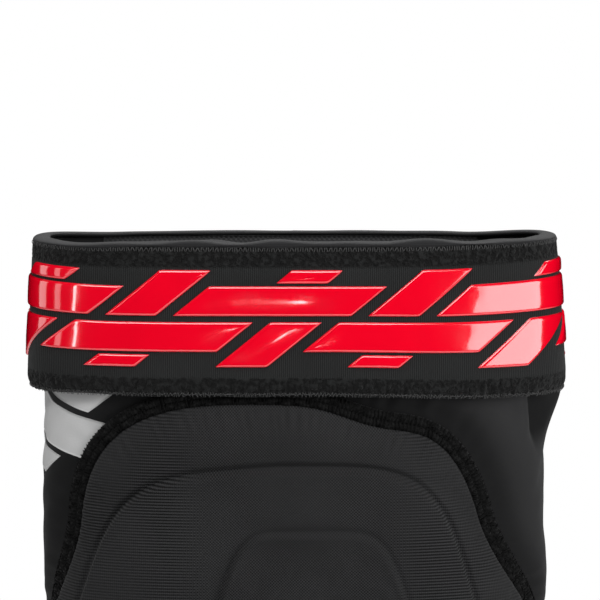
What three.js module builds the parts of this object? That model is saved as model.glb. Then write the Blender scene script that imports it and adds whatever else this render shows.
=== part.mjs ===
// A knee-and-shin guard: a pull-on knit sleeve with a padded knee, a padded shin, a ribbed gusset
// that flexes between them, an elastic ankle band, and a wide elastic cuff turned down over the top
// of the sleeve, so that its moulded silicone grip bars face outwards.
//
// Millimetres, +Z up the leg, -Y towards the front of the leg, +X to the wearer's outer side.
// The origin is the centre of the hem that the guard stands on.
import * as THREE from "three";
import { mergeVertices } from "three/addons/utils/BufferGeometryUtils.js";

// ---- Driving dimensions ----
const KNIT = 1.5; // thickness of the sleeve's knit
const GAP = 0.4; // clearance between two pieces that touch
const HEM_HEIGHT = 3; // the binding that the guard stands on
const ANKLE_BAND_TOP = 38;
const GUSSET = { low: 200, high: 256, ribs: 4, ribDepth: 1.6 };
const RIM_TOP = 461.5;
const SLEEVE_TOP = 458; // where the sleeve meets the rim binding
const CUFF = { low: 410, high: SLEEVE_TOP, inner: 3.4, thickness: 1.6, flare: 1.5 };
const OVERLOCK = { width: 3.6, thickness: 0.6 }; // stitched edges of the elastics
const SEAM = { width: 4.6, thickness: 1 }; // flat seams between panels
const SIDE_SEAM_SHARE = 0.33; // share of the way round, from the front, where front meets back
const RING_SEGMENTS = 44;

// The inside of the sleeve, from the hem up: half width, depth to the front and to the back of the
// axis, and how square the front corners are (2 is an ellipse).
const SECTIONS = [
  { z: 0, half: 50, front: 29, back: 29, inner: 2.1, outer: 2.1 },
  { z: 60, half: 54, front: 30, back: 32, inner: 2.2, outer: 2.1 },
  { z: 165, half: 69, front: 33, back: 37, inner: 2.4, outer: 2.2 },
  { z: 228, half: 72, front: 34, back: 32, inner: 2.5, outer: 2.2 },
  { z: 320, half: 80.5, front: 34, back: 27, inner: 2.9, outer: 2.3 },
  { z: 400, half: 82.3, front: 31, back: 23, inner: 3.3, outer: 2.4 },
  { z: 460, half: 83.3, front: 29.5, back: 21, inner: 3.4, outer: 2.5 },
];
const BACK_SQUARENESS = 2.6;

// Pads: outline centre height, half width round the leg, reach up and down, squareness, the share by
// which the outline narrows towards its top and bottom, and how far the cover stands off the sleeve.
const KNEE = { z: 330, half: 90, up: 76, down: 62, square: 3.4, taper: 0.25, dome: 14.5 };
const SHIN = { z: 124, half: 55, up: 64, down: 74, square: 3, taper: 0.12, dome: 11 };
const PAD_TAPER_END = 0.62; // share of the reach at which an outline has narrowed fully
const PAD_FLOOR = KNIT + 1.2; // where a pad's foam starts, above the sleeve's inside
const COVER_KNIT = 1.1;

// The grip pattern on the cuff: one motif is repeated round it, and its lower half is its upper half
// turned through half a turn.
const GRIP = {
  motifs: [-2, -1, 0, 1, 2],
  period: 88.2, // round the cuff's outer face
  thickness: 1.1,
  lift: 0.9, // clearance over the cuff
  slant: 1.23, // sideways run for each millimetre of rise
  row: 10,
  dash: 4.2,
  rowGap: 2,
  dashGap: 0.9,
  long: 59.7,
  short: 17.4,
  step: 5.6, // black gap between a long bar and a slash
  middle: 436, // height of the black line between the two rows
  start: -42.4, // where the middle motif's upper long bar starts on that line
  lowerShift: -30.1, // the lower row's long bar, from the upper row's
  joinMargin: 12, // bare elastic each side of the cuff's join
};

// ---- Finishes ----
const finish = (color, roughness) => new THREE.MeshStandardMaterial({ color, roughness, metalness: 0 });
const FINISH = {
  knit: finish(0x26272a, 0.9),
  mesh: finish(0x1d1e20, 0.95),
  cover: finish(0x2b2b2d, 0.85),
  elastic: finish(0x2c2e2e, 0.95),
  thread: finish(0x222224, 0.9),
  foam: finish(0x54565a, 0.95),
  plate: finish(0x3a3c40, 0.5),
  silicone: finish(0xf00028, 0.15),
  print: finish(0xb4b4b4, 0.5),
};

// ---- The leg surface ----

// A value between the section rows, on a smooth curve through them.
function between(key, z) {
  const last = SECTIONS.length - 1;
  const i = THREE.MathUtils.clamp(SECTIONS.findIndex((row) => row.z > z) - 1, 0, last - 1);
  const at = z >= SECTIONS[last].z ? last - 1 : i;
  const slope = (k) => {
    const a = SECTIONS[Math.max(k - 1, 0)];
    const b = SECTIONS[Math.min(k + 1, last)];
    return (b[key] - a[key]) / (b.z - a.z);
  };
  const [p, q] = [SECTIONS[at], SECTIONS[at + 1]];
  const span = q.z - p.z;
  const t = THREE.MathUtils.clamp((z - p.z) / span, 0, 1);
  const rise = t * t * (3 - 2 * t);
  const ease = t * (1 - t) * (1 - t) * slope(at) * span - t * t * (1 - t) * slope(at + 1) * span;
  return p[key] + (q[key] - p[key]) * rise + ease;
}

const SAMPLES = 720;
const FRONT = SAMPLES / 2;
const sections = new Map();

// The closed outline of the sleeve's inside at a height: its points and the running length to each,
// starting at the middle of the back and passing the outer side, the front and the inner side last.
function sectionAt(z) {
  const known = sections.get(z);
  if (known) return known;
  const [half, front, back] = ["half", "front", "back"].map((key) => between(key, z));
  const squareness = { inner: between("inner", z), outer: between("outer", z) };
  const points = [];
  for (let k = 0; k < SAMPLES; k++) {
    const turn = (2 * Math.PI * k) / SAMPLES;
    const [across, ahead] = [Math.sin(turn), -Math.cos(turn)];
    const power = 2 / (ahead > 0 ? squareness[across < 0 ? "inner" : "outer"] : BACK_SQUARENESS);
    const depth = ahead > 0 ? front : back;
    points.push(
      new THREE.Vector2(
        half * Math.sign(across) * Math.abs(across) ** power,
        -depth * Math.sign(ahead) * Math.abs(ahead) ** power,
      ),
    );
  }
  const lengths = [0];
  for (let k = 0; k < SAMPLES; k++) lengths.push(lengths[k] + points[k].distanceTo(points[(k + 1) % SAMPLES]));
  const made = { points, lengths, perimeter: lengths[SAMPLES] };
  sections.set(z, made);
  return made;
}

// The point at a distance round the sleeve (0 at the front, positive to the outer side) and a height,
// that far outside the sleeve's inner face.
function onSleeve(distance, z, offset) {
  const { points, lengths, perimeter } = sectionAt(z);
  const target = (((lengths[FRONT] - distance) % perimeter) + perimeter) % perimeter;
  let low = 0;
  let high = SAMPLES;
  while (high - low > 1) {
    const middle = (low + high) >> 1;
    if (lengths[middle] <= target) low = middle;
    else high = middle;
  }
  const part = (target - lengths[low]) / Math.max(lengths[high] - lengths[low], 1e-9);
  const place = points[low].clone().lerp(points[high % SAMPLES], part);
  const reach = 4; // samples each side that set the normal
  const along = points[(low + reach + 1) % SAMPLES].clone().sub(points[(low - reach + SAMPLES) % SAMPLES]);
  const normal = new THREE.Vector2(along.y, -along.x).normalize();
  if (normal.dot(place) < 0) normal.negate();
  place.addScaledVector(normal, offset);
  return new THREE.Vector3(place.x, place.y, z);
}

// The same, with a share of the way round instead of a distance.
const onLeg = (share, z, offset) => onSleeve(share * sectionAt(z).perimeter, z, offset);

// ---- Solids from grids of points ----

// One closed solid from points and triangles, turned so that its faces point out.
function solid(points, triangles) {
  const geometry = new THREE.BufferGeometry().setFromPoints(points);
  let volume = 0;
  for (const [a, b, c] of triangles) volume += points[a].dot(points[b].clone().cross(points[c]));
  const facing = volume < 0 ? triangles.map(([a, b, c]) => [a, c, b]) : triangles;
  geometry.setIndex(facing.flat());
  const merged = mergeVertices(geometry, 1e-4);
  merged.computeVertexNormals();
  return merged;
}

const quad = (a, b, c, d) => [
  [a, b, c],
  [a, c, d],
];

// A loop whose cross-section, a list of [sideways, outwards] points, is carried round by place().
function loop(profile, place, segments = RING_SEGMENTS) {
  const points = [];
  const triangles = [];
  const n = profile.length;
  for (let i = 0; i < segments; i++) {
    for (const [side, out] of profile) points.push(place(i / segments, side, out));
    for (let k = 0; k < n; k++) {
      const [j, m] = [(i + 1) % segments, (k + 1) % n];
      triangles.push(...quad(i * n + k, j * n + k, j * n + m, i * n + m));
    }
  }
  return solid(points, triangles);
}

// A ring round the leg from a profile of [height, offset] points.
const ring = (profile) => loop(profile, (turn, z, offset) => onLeg(turn - 0.5, z, offset));

// A box profile for a ring: from one height to another, and from one offset to another.
const band = (low, high, inside, outside) => [
  [low, inside],
  [low, outside],
  [high, outside],
  [high, inside],
];

// A sheet with an outer and an inner face over columns by rows of points.
function slab(columns, rows, outer, inner) {
  const points = [];
  const triangles = [];
  const at = (layer, i, j) => layer * (columns + 1) * (rows + 1) + j * (columns + 1) + i;
  for (const face of [outer, inner])
    for (let j = 0; j <= rows; j++) for (let i = 0; i <= columns; i++) points.push(face(i / columns, j / rows));
  for (let j = 0; j < rows; j++)
    for (let i = 0; i < columns; i++) {
      triangles.push(...quad(at(0, i, j), at(0, i + 1, j), at(0, i + 1, j + 1), at(0, i, j + 1)));
      triangles.push(...quad(at(1, i, j), at(1, i, j + 1), at(1, i + 1, j + 1), at(1, i + 1, j)));
    }
  for (let i = 0; i < columns; i++) {
    triangles.push(...quad(at(0, i, 0), at(1, i, 0), at(1, i + 1, 0), at(0, i + 1, 0)));
    triangles.push(...quad(at(0, i, rows), at(0, i + 1, rows), at(1, i + 1, rows), at(1, i, rows)));
  }
  for (let j = 0; j < rows; j++) {
    triangles.push(...quad(at(0, 0, j), at(0, 0, j + 1), at(1, 0, j + 1), at(1, 0, j)));
    triangles.push(...quad(at(0, columns, j), at(1, columns, j), at(1, columns, j + 1), at(0, columns, j + 1)));
  }
  return solid(points, triangles);
}

// How finely a pad is divided: rings from its middle out, closer towards the rim, and spokes.
const WIDE_PAD = { rings: [0.42, 0.68, 0.78, 0.86, 0.93, 1], spokes: 40 };
const SMALL_PAD = { rings: [0.55, 0.85, 1], spokes: 28 };

// A pad on a rounded outline: top and bottom give the offset at a share of the way to the rim.
function cushion({ rings, spokes }, outline, top, bottom) {
  const points = [];
  const triangles = [];
  const start = (layer, k) => layer * (1 + rings.length * spokes) + 1 + k * spokes;
  const push = (layer, ...faces) =>
    triangles.push(...(layer ? faces.map(([p, q, s]) => [p, s, q]) : faces));
  [top, bottom].forEach((height, layer) => {
    points.push(outline(0, 0, height(0)));
    for (const r of rings)
      for (let i = 0; i < spokes; i++) points.push(outline(r, i / spokes, height(r)));
    for (let i = 0; i < spokes; i++) {
      const next = (i + 1) % spokes;
      push(layer, [start(layer, 0) - 1, start(layer, 0) + i, start(layer, 0) + next]);
      for (let k = 0; k + 1 < rings.length; k++) {
        const [a, b] = [start(layer, k), start(layer, k + 1)];
        push(layer, ...quad(a + i, b + i, b + next, a + next));
      }
    }
  });
  for (let i = 0; i < spokes; i++) {
    const next = (i + 1) % spokes;
    const [a, b] = [start(0, rings.length - 1), start(1, rings.length - 1)];
    push(0, ...quad(a + i, b + i, b + next, a + next));
  }
  return solid(points, triangles);
}

// ---- Pads ----

// A pad's rounded outline: r of the way from its centre to its sewn edge, turn of the way round.
const padOutline = (pad, size = 1) => (r, turn, offset, outwards = 0) => {
  const angle = 2 * Math.PI * turn;
  const power = 2 / pad.square;
  const round = Math.sign(Math.cos(angle)) * Math.abs(Math.cos(angle)) ** power;
  const rise = Math.sign(Math.sin(angle)) * Math.abs(Math.sin(angle)) ** power;
  const height = rise > 0 ? pad.up : pad.down;
  const narrowing = 1 - pad.taper * THREE.MathUtils.smoothstep(Math.abs(rise), 0, PAD_TAPER_END);
  const grown = new THREE.Vector2(pad.half * narrowing * round, height * rise);
  grown.multiplyScalar(r * size).setLength(grown.length() + outwards);
  return onSleeve(grown.x, pad.z + grown.y, offset);
};

// How far a pad's surface has risen, from 0 at its edge to 1 over its flat middle.
const domeShare = (r) => Math.sqrt(Math.max(0, 1 - r ** 4));

// A layer of padding or plate over part of a pad, thinning towards its rim.
function layer(pad, { size, low, high, edge, detail }) {
  const top = (r) => low + edge + (high - low - edge) * domeShare(r);
  return cushion(detail, padOutline(pad, size), top, () => low);
}

// The knit that is drawn over a pad's foam, down to its sewn edge.
function cover(pad) {
  const inside = (r) => PAD_FLOOR + pad.dome * domeShare(r * 0.99);
  return cushion(WIDE_PAD, padOutline(pad, 0.985), (r) => inside(r) + COVER_KNIT, inside);
}

// The flat seam that sews a cover down, just outside its edge.
const coverSeam = (pad) =>
  loop(
    band(GAP, GAP + SEAM.width, KNIT + 2 * GAP, KNIT + 2 * GAP + SEAM.thickness),
    (turn, out, offset) => padOutline(pad)(1, turn, offset, out),
    80,
  );

// ---- Panels and seams ----

// A panel of the sleeve between two shares of the way round and two heights.
function panel(from, to, low, high, columns, rows) {
  const face = (offset) => (u, v) =>
    onLeg(THREE.MathUtils.lerp(from, to, u), THREE.MathUtils.lerp(low, high, v), offset);
  return slab(columns, rows, face(KNIT), face(0));
}

const frontPanel = (low, high, rows) =>
  panel(-SIDE_SEAM_SHARE + 0.0006, SIDE_SEAM_SHARE - 0.0006, low, high, 30, rows);
const backPanel = (low, high, rows) =>
  panel(SIDE_SEAM_SHARE + 0.0006, 1 - SIDE_SEAM_SHARE - 0.0006, low, high, 14, rows);

// The flat seam that joins a front panel to a back panel, on the outside of the sleeve.
function sideSeam(side, low, high, rows) {
  const face = (offset) => (u, v) => {
    const z = THREE.MathUtils.lerp(low, high, v);
    const distance = side * SIDE_SEAM_SHARE * sectionAt(z).perimeter + (u - 0.5) * SEAM.width;
    return onSleeve(distance, z, offset);
  };
  return slab(2, rows, face(KNIT + GAP + SEAM.thickness), face(KNIT + GAP));
}

// The gusset: a ribbed knit tube whose ribs open as the knee bends.
function gusset() {
  const steps = 2 * GUSSET.ribs;
  const low = GUSSET.low + GAP;
  const rise = (GUSSET.high - GUSSET.low - 2 * GAP) / steps;
  const wave = [];
  for (let k = 0; k <= steps; k++) wave.push([low + k * rise, k % 2 ? GUSSET.ribDepth : 0]);
  const outside = wave.map(([z, out]) => [z, out + KNIT]);
  return ring([...outside, ...wave.reverse()]);
}

// The elastic cuff, which hangs outside the sleeve and flares a little towards its lower edge.
function cuff() {
  const middle = (CUFF.low + CUFF.high) / 2;
  const at = (z) => CUFF.inner + (CUFF.flare * (CUFF.high - z)) / (CUFF.high - CUFF.low);
  const inside = [CUFF.high, middle, CUFF.low].map((z) => [z, at(z)]);
  const outside = [CUFF.low, middle, CUFF.high].map((z) => [z, at(z) + CUFF.thickness]);
  return ring([...inside, ...outside]);
}

const cuffFace = (z) => CUFF.inner + CUFF.thickness + (CUFF.flare * (CUFF.high - z)) / (CUFF.high - CUFF.low);

// The rolled binding over the top edge, from the sleeve's inside to the cuff's outside.
function rimBinding() {
  const outside = CUFF.inner + CUFF.thickness;
  const low = SLEEVE_TOP + GAP;
  const rise = RIM_TOP - low;
  const arch = [0, 0.25, 0.5, 0.75, 1].map((t) => [low + rise * (0.35 + 0.65 * Math.sin(Math.PI * t)), t * outside]);
  return ring([[low, 0], ...arch, [low, outside]]);
}

// A stitched edge lying on the cuff between two heights.
const cuffOverlock = (low) =>
  ring([
    [low, cuffFace(low) + GAP],
    [low, cuffFace(low) + GAP + OVERLOCK.thickness],
    [low + OVERLOCK.width, cuffFace(low + OVERLOCK.width) + GAP + OVERLOCK.thickness],
    [low + OVERLOCK.width, cuffFace(low + OVERLOCK.width) + GAP],
  ]);

// The flat join at the back where the two ends of the cuff's elastic are sewn together.
function cuffJoin() {
  const [low, high] = [CUFF.low + OVERLOCK.width + 1, CUFF.high - OVERLOCK.width - 1];
  const face = (out) => (u, v) => {
    const z = THREE.MathUtils.lerp(low, high, v);
    return onSleeve(sectionAt(z).perimeter / 2 + (u - 0.5) * SEAM.width, z, cuffFace(z) + GAP + out);
  };
  return slab(2, 2, face(0.8), face(0));
}

// ---- Grip bars ----

// The bars of one motif: [name, left end and length on the middle line, lowest and highest height].
function motifBars() {
  const half = GRIP.rowGap / 2;
  const full = half + GRIP.row;
  const dashLow = full + GRIP.dashGap;
  const dashStart = (GRIP.long - GRIP.short) / 2;
  const upper = [
    ["long", 0, GRIP.long, half, full],
    ["slash", -GRIP.short - GRIP.step, GRIP.short, half, dashLow + GRIP.dash],
    ["dash", dashStart, GRIP.short, dashLow, dashLow + GRIP.dash],
  ];
  const lower = upper.map(([name, from, length, low, high]) => [
    name,
    GRIP.lowerShift + GRIP.long - from - length,
    length,
    -high,
    -low,
  ]);
  return [
    ...upper.map(([name, ...rest]) => [`upper_${name}`, ...rest]),
    ...lower.map(([name, ...rest]) => [`lower_${name}`, ...rest]),
  ];
}

// Distances round the cuff are measured on its outer face, which is longer than the sleeve's at
// every corner: this turns them into distances round the sleeve.
const CUFF_STEPS = 480;
const cuffTrack = (() => {
  const { perimeter } = sectionAt(GRIP.middle);
  const stops = [];
  let run = 0;
  let last = onSleeve(-perimeter / 2, GRIP.middle, cuffFace(GRIP.middle));
  for (let k = 0; k <= CUFF_STEPS; k++) {
    const sleeve = (k / CUFF_STEPS - 0.5) * perimeter;
    const here = onSleeve(sleeve, GRIP.middle, cuffFace(GRIP.middle));
    run += here.distanceTo(last);
    last = here;
    stops.push({ sleeve, run });
  }
  const front = stops[CUFF_STEPS / 2].run;
  return stops.map(({ sleeve, run: at }) => ({ sleeve, cuff: at - front }));
})();

function sleeveDistance(cuffDistance) {
  const next = Math.max(1, cuffTrack.findIndex(({ cuff: at }) => at >= cuffDistance));
  const [a, b] = [cuffTrack[next - 1], cuffTrack[next]];
  return a.sleeve + ((b.sleeve - a.sleeve) * (cuffDistance - a.cuff)) / (b.cuff - a.cuff);
}

// A slanted bar of silicone on the cuff's outer face, as long as it is on the middle line.
function gripBar(left, length, low, high) {
  const [columns, rows] = [length, high - low].map((side) => Math.max(1, Math.round(side / 5)));
  const face = (out) => (u, v) => {
    const rise = THREE.MathUtils.lerp(low, high, v);
    const z = GRIP.middle + rise;
    const distance = sleeveDistance(left + length * u + GRIP.slant * rise);
    return onSleeve(distance, z, cuffFace(z) + GRIP.lift + out);
  };
  return slab(columns, rows, face(GRIP.thickness), face(0));
}

// Every bar that clears the cuff's join at the back, numbered by motif from the inner side round.
function* gripBars() {
  const [low, high] = [cuffTrack[0].cuff + GRIP.joinMargin, cuffTrack[CUFF_STEPS].cuff - GRIP.joinMargin];
  for (const motif of GRIP.motifs)
    for (const [name, from, length, bottom, top] of motifBars()) {
      const left = GRIP.start + motif * GRIP.period + from;
      const ends = [bottom, top].map((rise) => GRIP.slant * rise);
      const clear = left + Math.min(...ends) > low && left + length + Math.max(...ends) < high;
      if (clear) yield [`grip_${name}_${motif + 3}`, gripBar(left, length, bottom, top)];
    }
}

// ---- Side print ----

// Slanted bars of reflective film on the inner side of the sleeve: where each starts and ends round
// the sleeve, the height of its lower edge at the anchor, how tall it is and how its end is cut.
const PRINT = {
  slope: -0.55,
  anchor: -87,
  lift: 0.3,
  bars: [
    { from: -118, to: -70, low: 411.3, height: 12, cut: 0.65 },
    { from: -113, to: -68.5, low: 396.8, height: 12.3, cut: 1.9 },
    { from: -118, to: -89, low: 384.9, height: 9.7, cut: 0.65 },
    { from: -118, to: -100, low: 377.2, height: 5.5, cut: 0.65 },
  ],
};

function printBar({ from, to, low, height, cut }) {
  const face = (out) => (u, v) => {
    const across = (v - 0.5) * height;
    const distance = THREE.MathUtils.lerp(from + 0.65 * across, to + cut * across * 0.5, u);
    const z = low + v * height + PRINT.slope * (distance - PRINT.anchor);
    return onSleeve(distance, z, KNIT + 2 * GAP + out);
  };
  return slab(12, 2, face(PRINT.lift), face(0));
}

// ---- The guard ----
const guard = new THREE.Group();

function add(name, geometry, material) {
  const mesh = new THREE.Mesh(geometry, material);
  mesh.name = name;
  guard.add(mesh);
}

// Thigh half: the sleeve, its cuff and the knee pad.
const KNEE_FOAM = { size: 0.91, low: PAD_FLOOR + 0.4, high: 8.4, edge: 2, detail: WIDE_PAD };
const KNEE_RAISED = { size: 0.66, low: 8.4 + GAP, high: 11.8, edge: 0.8, detail: SMALL_PAD };
const KNEE_CAP = { size: 0.36, low: 11.8 + GAP, high: 14.6, edge: 0.8, detail: SMALL_PAD };
add("upper_front_panel", frontPanel(GUSSET.high, SLEEVE_TOP, 5), FINISH.knit);
add("upper_back_panel", backPanel(GUSSET.high, SLEEVE_TOP, 5), FINISH.mesh);
add("upper_inner_seam", sideSeam(-1, GUSSET.high + 6, CUFF.low - 4, 6), FINISH.thread);
add("upper_outer_seam", sideSeam(1, GUSSET.high + 6, CUFF.low - 4, 6), FINISH.thread);
add("knee_base_foam", layer(KNEE, KNEE_FOAM), FINISH.foam);
add("knee_middle_foam", layer(KNEE, KNEE_RAISED), FINISH.foam);
add("knee_cap_insert", layer(KNEE, KNEE_CAP), FINISH.plate);
add("knee_cover", cover(KNEE), FINISH.cover);
add("knee_cover_seam", coverSeam(KNEE), FINISH.thread);
PRINT.bars.forEach((bar, k) => add(`side_print_${k + 1}`, printBar(bar), FINISH.print));
add("cuff_rim_binding", rimBinding(), FINISH.knit);
add("cuff_band", cuff(), FINISH.elastic);
add("cuff_top_overlock", cuffOverlock(CUFF.high - OVERLOCK.width - 0.5), FINISH.thread);
add("cuff_bottom_overlock", cuffOverlock(CUFF.low + 0.5), FINISH.thread);
add("cuff_join_seam", cuffJoin(), FINISH.thread);
for (const [name, geometry] of gripBars()) add(name, geometry, FINISH.silicone);

// Knee gusset, and the seams that hold it between the two halves. The guard flexes about an axis
// across the leg at half the gusset's height, 10 mm behind the middle of the sections.
const seamFace = [KNIT + 2 * GAP, KNIT + 2 * GAP + SEAM.thickness];
add("knee_gusset", gusset(), FINISH.knit);
add("gusset_upper_seam", ring(band(GUSSET.high + 0.2, GUSSET.high + 3.6, ...seamFace)), FINISH.thread);
add("gusset_lower_seam", ring(band(GUSSET.low - 3.6, GUSSET.low - 0.2, ...seamFace)), FINISH.thread);

// Shin half: the sleeve, its pad and the ankle band.
const SHIN_LOW = HEM_HEIGHT + GAP;
const bandFace = [KNIT + GAP, KNIT + GAP + 1.4];
const SHIN_FOAM = { size: 0.9, low: PAD_FLOOR, high: 7.8, edge: 2, detail: WIDE_PAD };
const SHIN_PLATE = { size: 0.72, low: 7.8 + GAP, high: 10.6, edge: 0.9, detail: SMALL_PAD };
add("shin_front_panel", frontPanel(SHIN_LOW, GUSSET.low, 5), FINISH.knit);
add("shin_back_panel", backPanel(SHIN_LOW, GUSSET.low, 5), FINISH.mesh);
add("shin_inner_seam", sideSeam(-1, ANKLE_BAND_TOP + 2, GUSSET.low - 6, 6), FINISH.thread);
add("shin_outer_seam", sideSeam(1, ANKLE_BAND_TOP + 2, GUSSET.low - 6, 6), FINISH.thread);
add("shin_foam", layer(SHIN, SHIN_FOAM), FINISH.foam);
add("shin_plate", layer(SHIN, SHIN_PLATE), FINISH.plate);
add("shin_cover", cover(SHIN), FINISH.cover);
add("shin_cover_seam", coverSeam(SHIN), FINISH.thread);
add("ankle_band", ring(band(SHIN_LOW, ANKLE_BAND_TOP, ...bandFace)), FINISH.elastic);
const ankleStitch = [bandFace[1] + GAP, bandFace[1] + GAP + OVERLOCK.thickness];
add("ankle_overlock", ring(band(ANKLE_BAND_TOP - 4.5, ANKLE_BAND_TOP - 0.5, ...ankleStitch)), FINISH.thread);
add("ankle_hem_binding", ring(band(0, HEM_HEIGHT, 0, bandFace[1])), FINISH.knit);
add("ankle_grip_ring", ring(band(12, 20, -1 - GAP, -GAP)), FINISH.silicone);

// Centre the guard front to back between the knee pad and the calf.
const extent = new THREE.Box3().setFromObject(guard);
guard.position.y = -(extent.min.y + extent.max.y) / 2;

export default guard;
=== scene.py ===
"""A padded knee and shin guard sleeve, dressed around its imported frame.

The sleeve is a knit tube on one smooth leg surface. Every fabric piece is placed on that surface by a
distance round it, a height and an offset outwards, so that neighbours nest at every height.
"""

from __future__ import annotations

import logging
import math
import sys
from dataclasses import dataclass, replace
from enum import Enum, IntEnum
from typing import Any, Callable, ClassVar

import bpy
import numpy as np
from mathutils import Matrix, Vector


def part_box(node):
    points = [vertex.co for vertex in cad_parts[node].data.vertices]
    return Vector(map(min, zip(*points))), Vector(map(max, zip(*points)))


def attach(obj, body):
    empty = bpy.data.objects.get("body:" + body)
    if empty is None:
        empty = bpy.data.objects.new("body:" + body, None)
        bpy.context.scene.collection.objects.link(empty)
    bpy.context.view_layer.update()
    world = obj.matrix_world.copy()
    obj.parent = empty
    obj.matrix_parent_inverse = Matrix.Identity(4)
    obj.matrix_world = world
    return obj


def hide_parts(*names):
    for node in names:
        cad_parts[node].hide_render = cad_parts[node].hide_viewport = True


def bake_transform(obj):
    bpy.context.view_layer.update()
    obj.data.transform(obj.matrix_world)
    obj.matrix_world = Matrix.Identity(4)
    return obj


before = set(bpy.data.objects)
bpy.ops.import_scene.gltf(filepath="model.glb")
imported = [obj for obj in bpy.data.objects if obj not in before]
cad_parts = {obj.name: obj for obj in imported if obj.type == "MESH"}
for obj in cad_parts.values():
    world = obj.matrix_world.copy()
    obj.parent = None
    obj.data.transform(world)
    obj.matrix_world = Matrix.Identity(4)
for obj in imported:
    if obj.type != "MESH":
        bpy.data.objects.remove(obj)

LOG = logging.getLogger("guard")
MM = 0.001
TAU = 2 * math.pi
Array = np.ndarray
Colour = tuple[float, float, float]
Path = tuple[Array, Array, bool]
TINY = 1e-9


@dataclass(frozen=True)
class Section:
    """The inside of the sleeve at one height: its reach each way in millimetres, and the squareness
    of its inner and outer sides, where 2 is an ellipse."""

    z: float
    half: float
    front: float
    back: float
    inner: float
    outer: float


SECTIONS = (
    Section(0, 50, 29, 29, 2.1, 2.1),
    Section(60, 54, 30, 32, 2.2, 2.1),
    Section(165, 69, 33, 37, 2.4, 2.2),
    Section(228, 72, 34, 32, 2.5, 2.2),
    Section(320, 80.5, 34, 27, 2.9, 2.3),
    Section(400, 82.3, 31, 23, 3.3, 2.4),
    Section(460, 83.3, 29.5, 21, 3.4, 2.5),
)
BACK_SQUARENESS = 2.6
KNIT = 1.5 * MM
SLEEVE_TOP = 458 * MM
CUFF_MIDDLE = 436 * MM
GUSSET_LOW, GUSSET_HIGH = 200 * MM, 256 * MM
HEM_TOP = 3 * MM
ANKLE_TOP = 38 * MM
SIDE_SEAM_SHARE = 0.33


def smooth(low: float, high: float, value: Array) -> Array:
    """A soft step from 0 at low to 1 at high."""
    t = np.clip((value - low) / (high - low), 0, 1)
    return t * t * (3 - 2 * t)


def fade(low: float, high: float, value: Array) -> Array:
    """The same soft step between two places in millimetres, for a value in metres."""
    return smooth(low * MM, high * MM, value)


def bell(value: Array, centre: float, width: float) -> Array:
    """A soft bump of height 1 about a centre."""
    return np.exp(-(((value - centre) / width) ** 2))


def superellipse(x: Array, y: Array, power: float) -> Array:
    """The size of the superellipse through a place, where 1 is the unit one."""
    return (np.abs(x) ** power + np.abs(y) ** power) ** (1 / power)


@dataclass(frozen=True)
class Span:
    """A span in millimetres that fades in from start to full, and out again from last to end."""

    start: float
    full: float
    last: float
    end: float

    def share(self, value: Array) -> Array:
        """How full the span is at each value in metres, from 0 to 1."""
        return fade(self.start, self.full, value) * fade(self.end, self.last, value)


class Wave(IntEnum):
    """The irregular wave that each feature follows, so that no two features move together."""

    PUCKER_SWAY = 5
    PUCKERS = 11
    CUFF_WAVES = 21
    CUFF_EDGE = 31
    RIM_HEIGHT = 41
    RIM_LIP = 43
    RIM_OFFSET = 47
    FOLDS = 51
    FOLD_HEIGHTS = 53
    CREASES = 55
    SEAM_PUCKERS = 57
    STRETCH = 59
    PAD_GATHERS = 61
    SEAM_TAPE = 67
    ANKLE_BAND = 71
    HEM = 73


def ripple(value: Array, seed: int, waves: int = 7, spread: float = 0.45) -> Array:
    """A repeatable irregular wave in -1..1 along a value counted in wavelengths.

    Args:
        value: where along the wave, in mean wavelengths.
        seed: which of the possible waves, usually a Wave.
        waves: how many sines are added.
        spread: how far their wavelengths differ from the mean, as a share.

    Returns:
        The wave's height at each value.
    """
    draw = np.random.default_rng(seed)
    total = np.zeros_like(np.asarray(value, float))
    for _ in range(waves):
        rate, phase = 1 + spread * draw.uniform(-1, 1), draw.uniform(0, TAU)
        total = total + np.sin(TAU * rate * value + phase)
    return total / math.sqrt(2 * waves)


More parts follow.
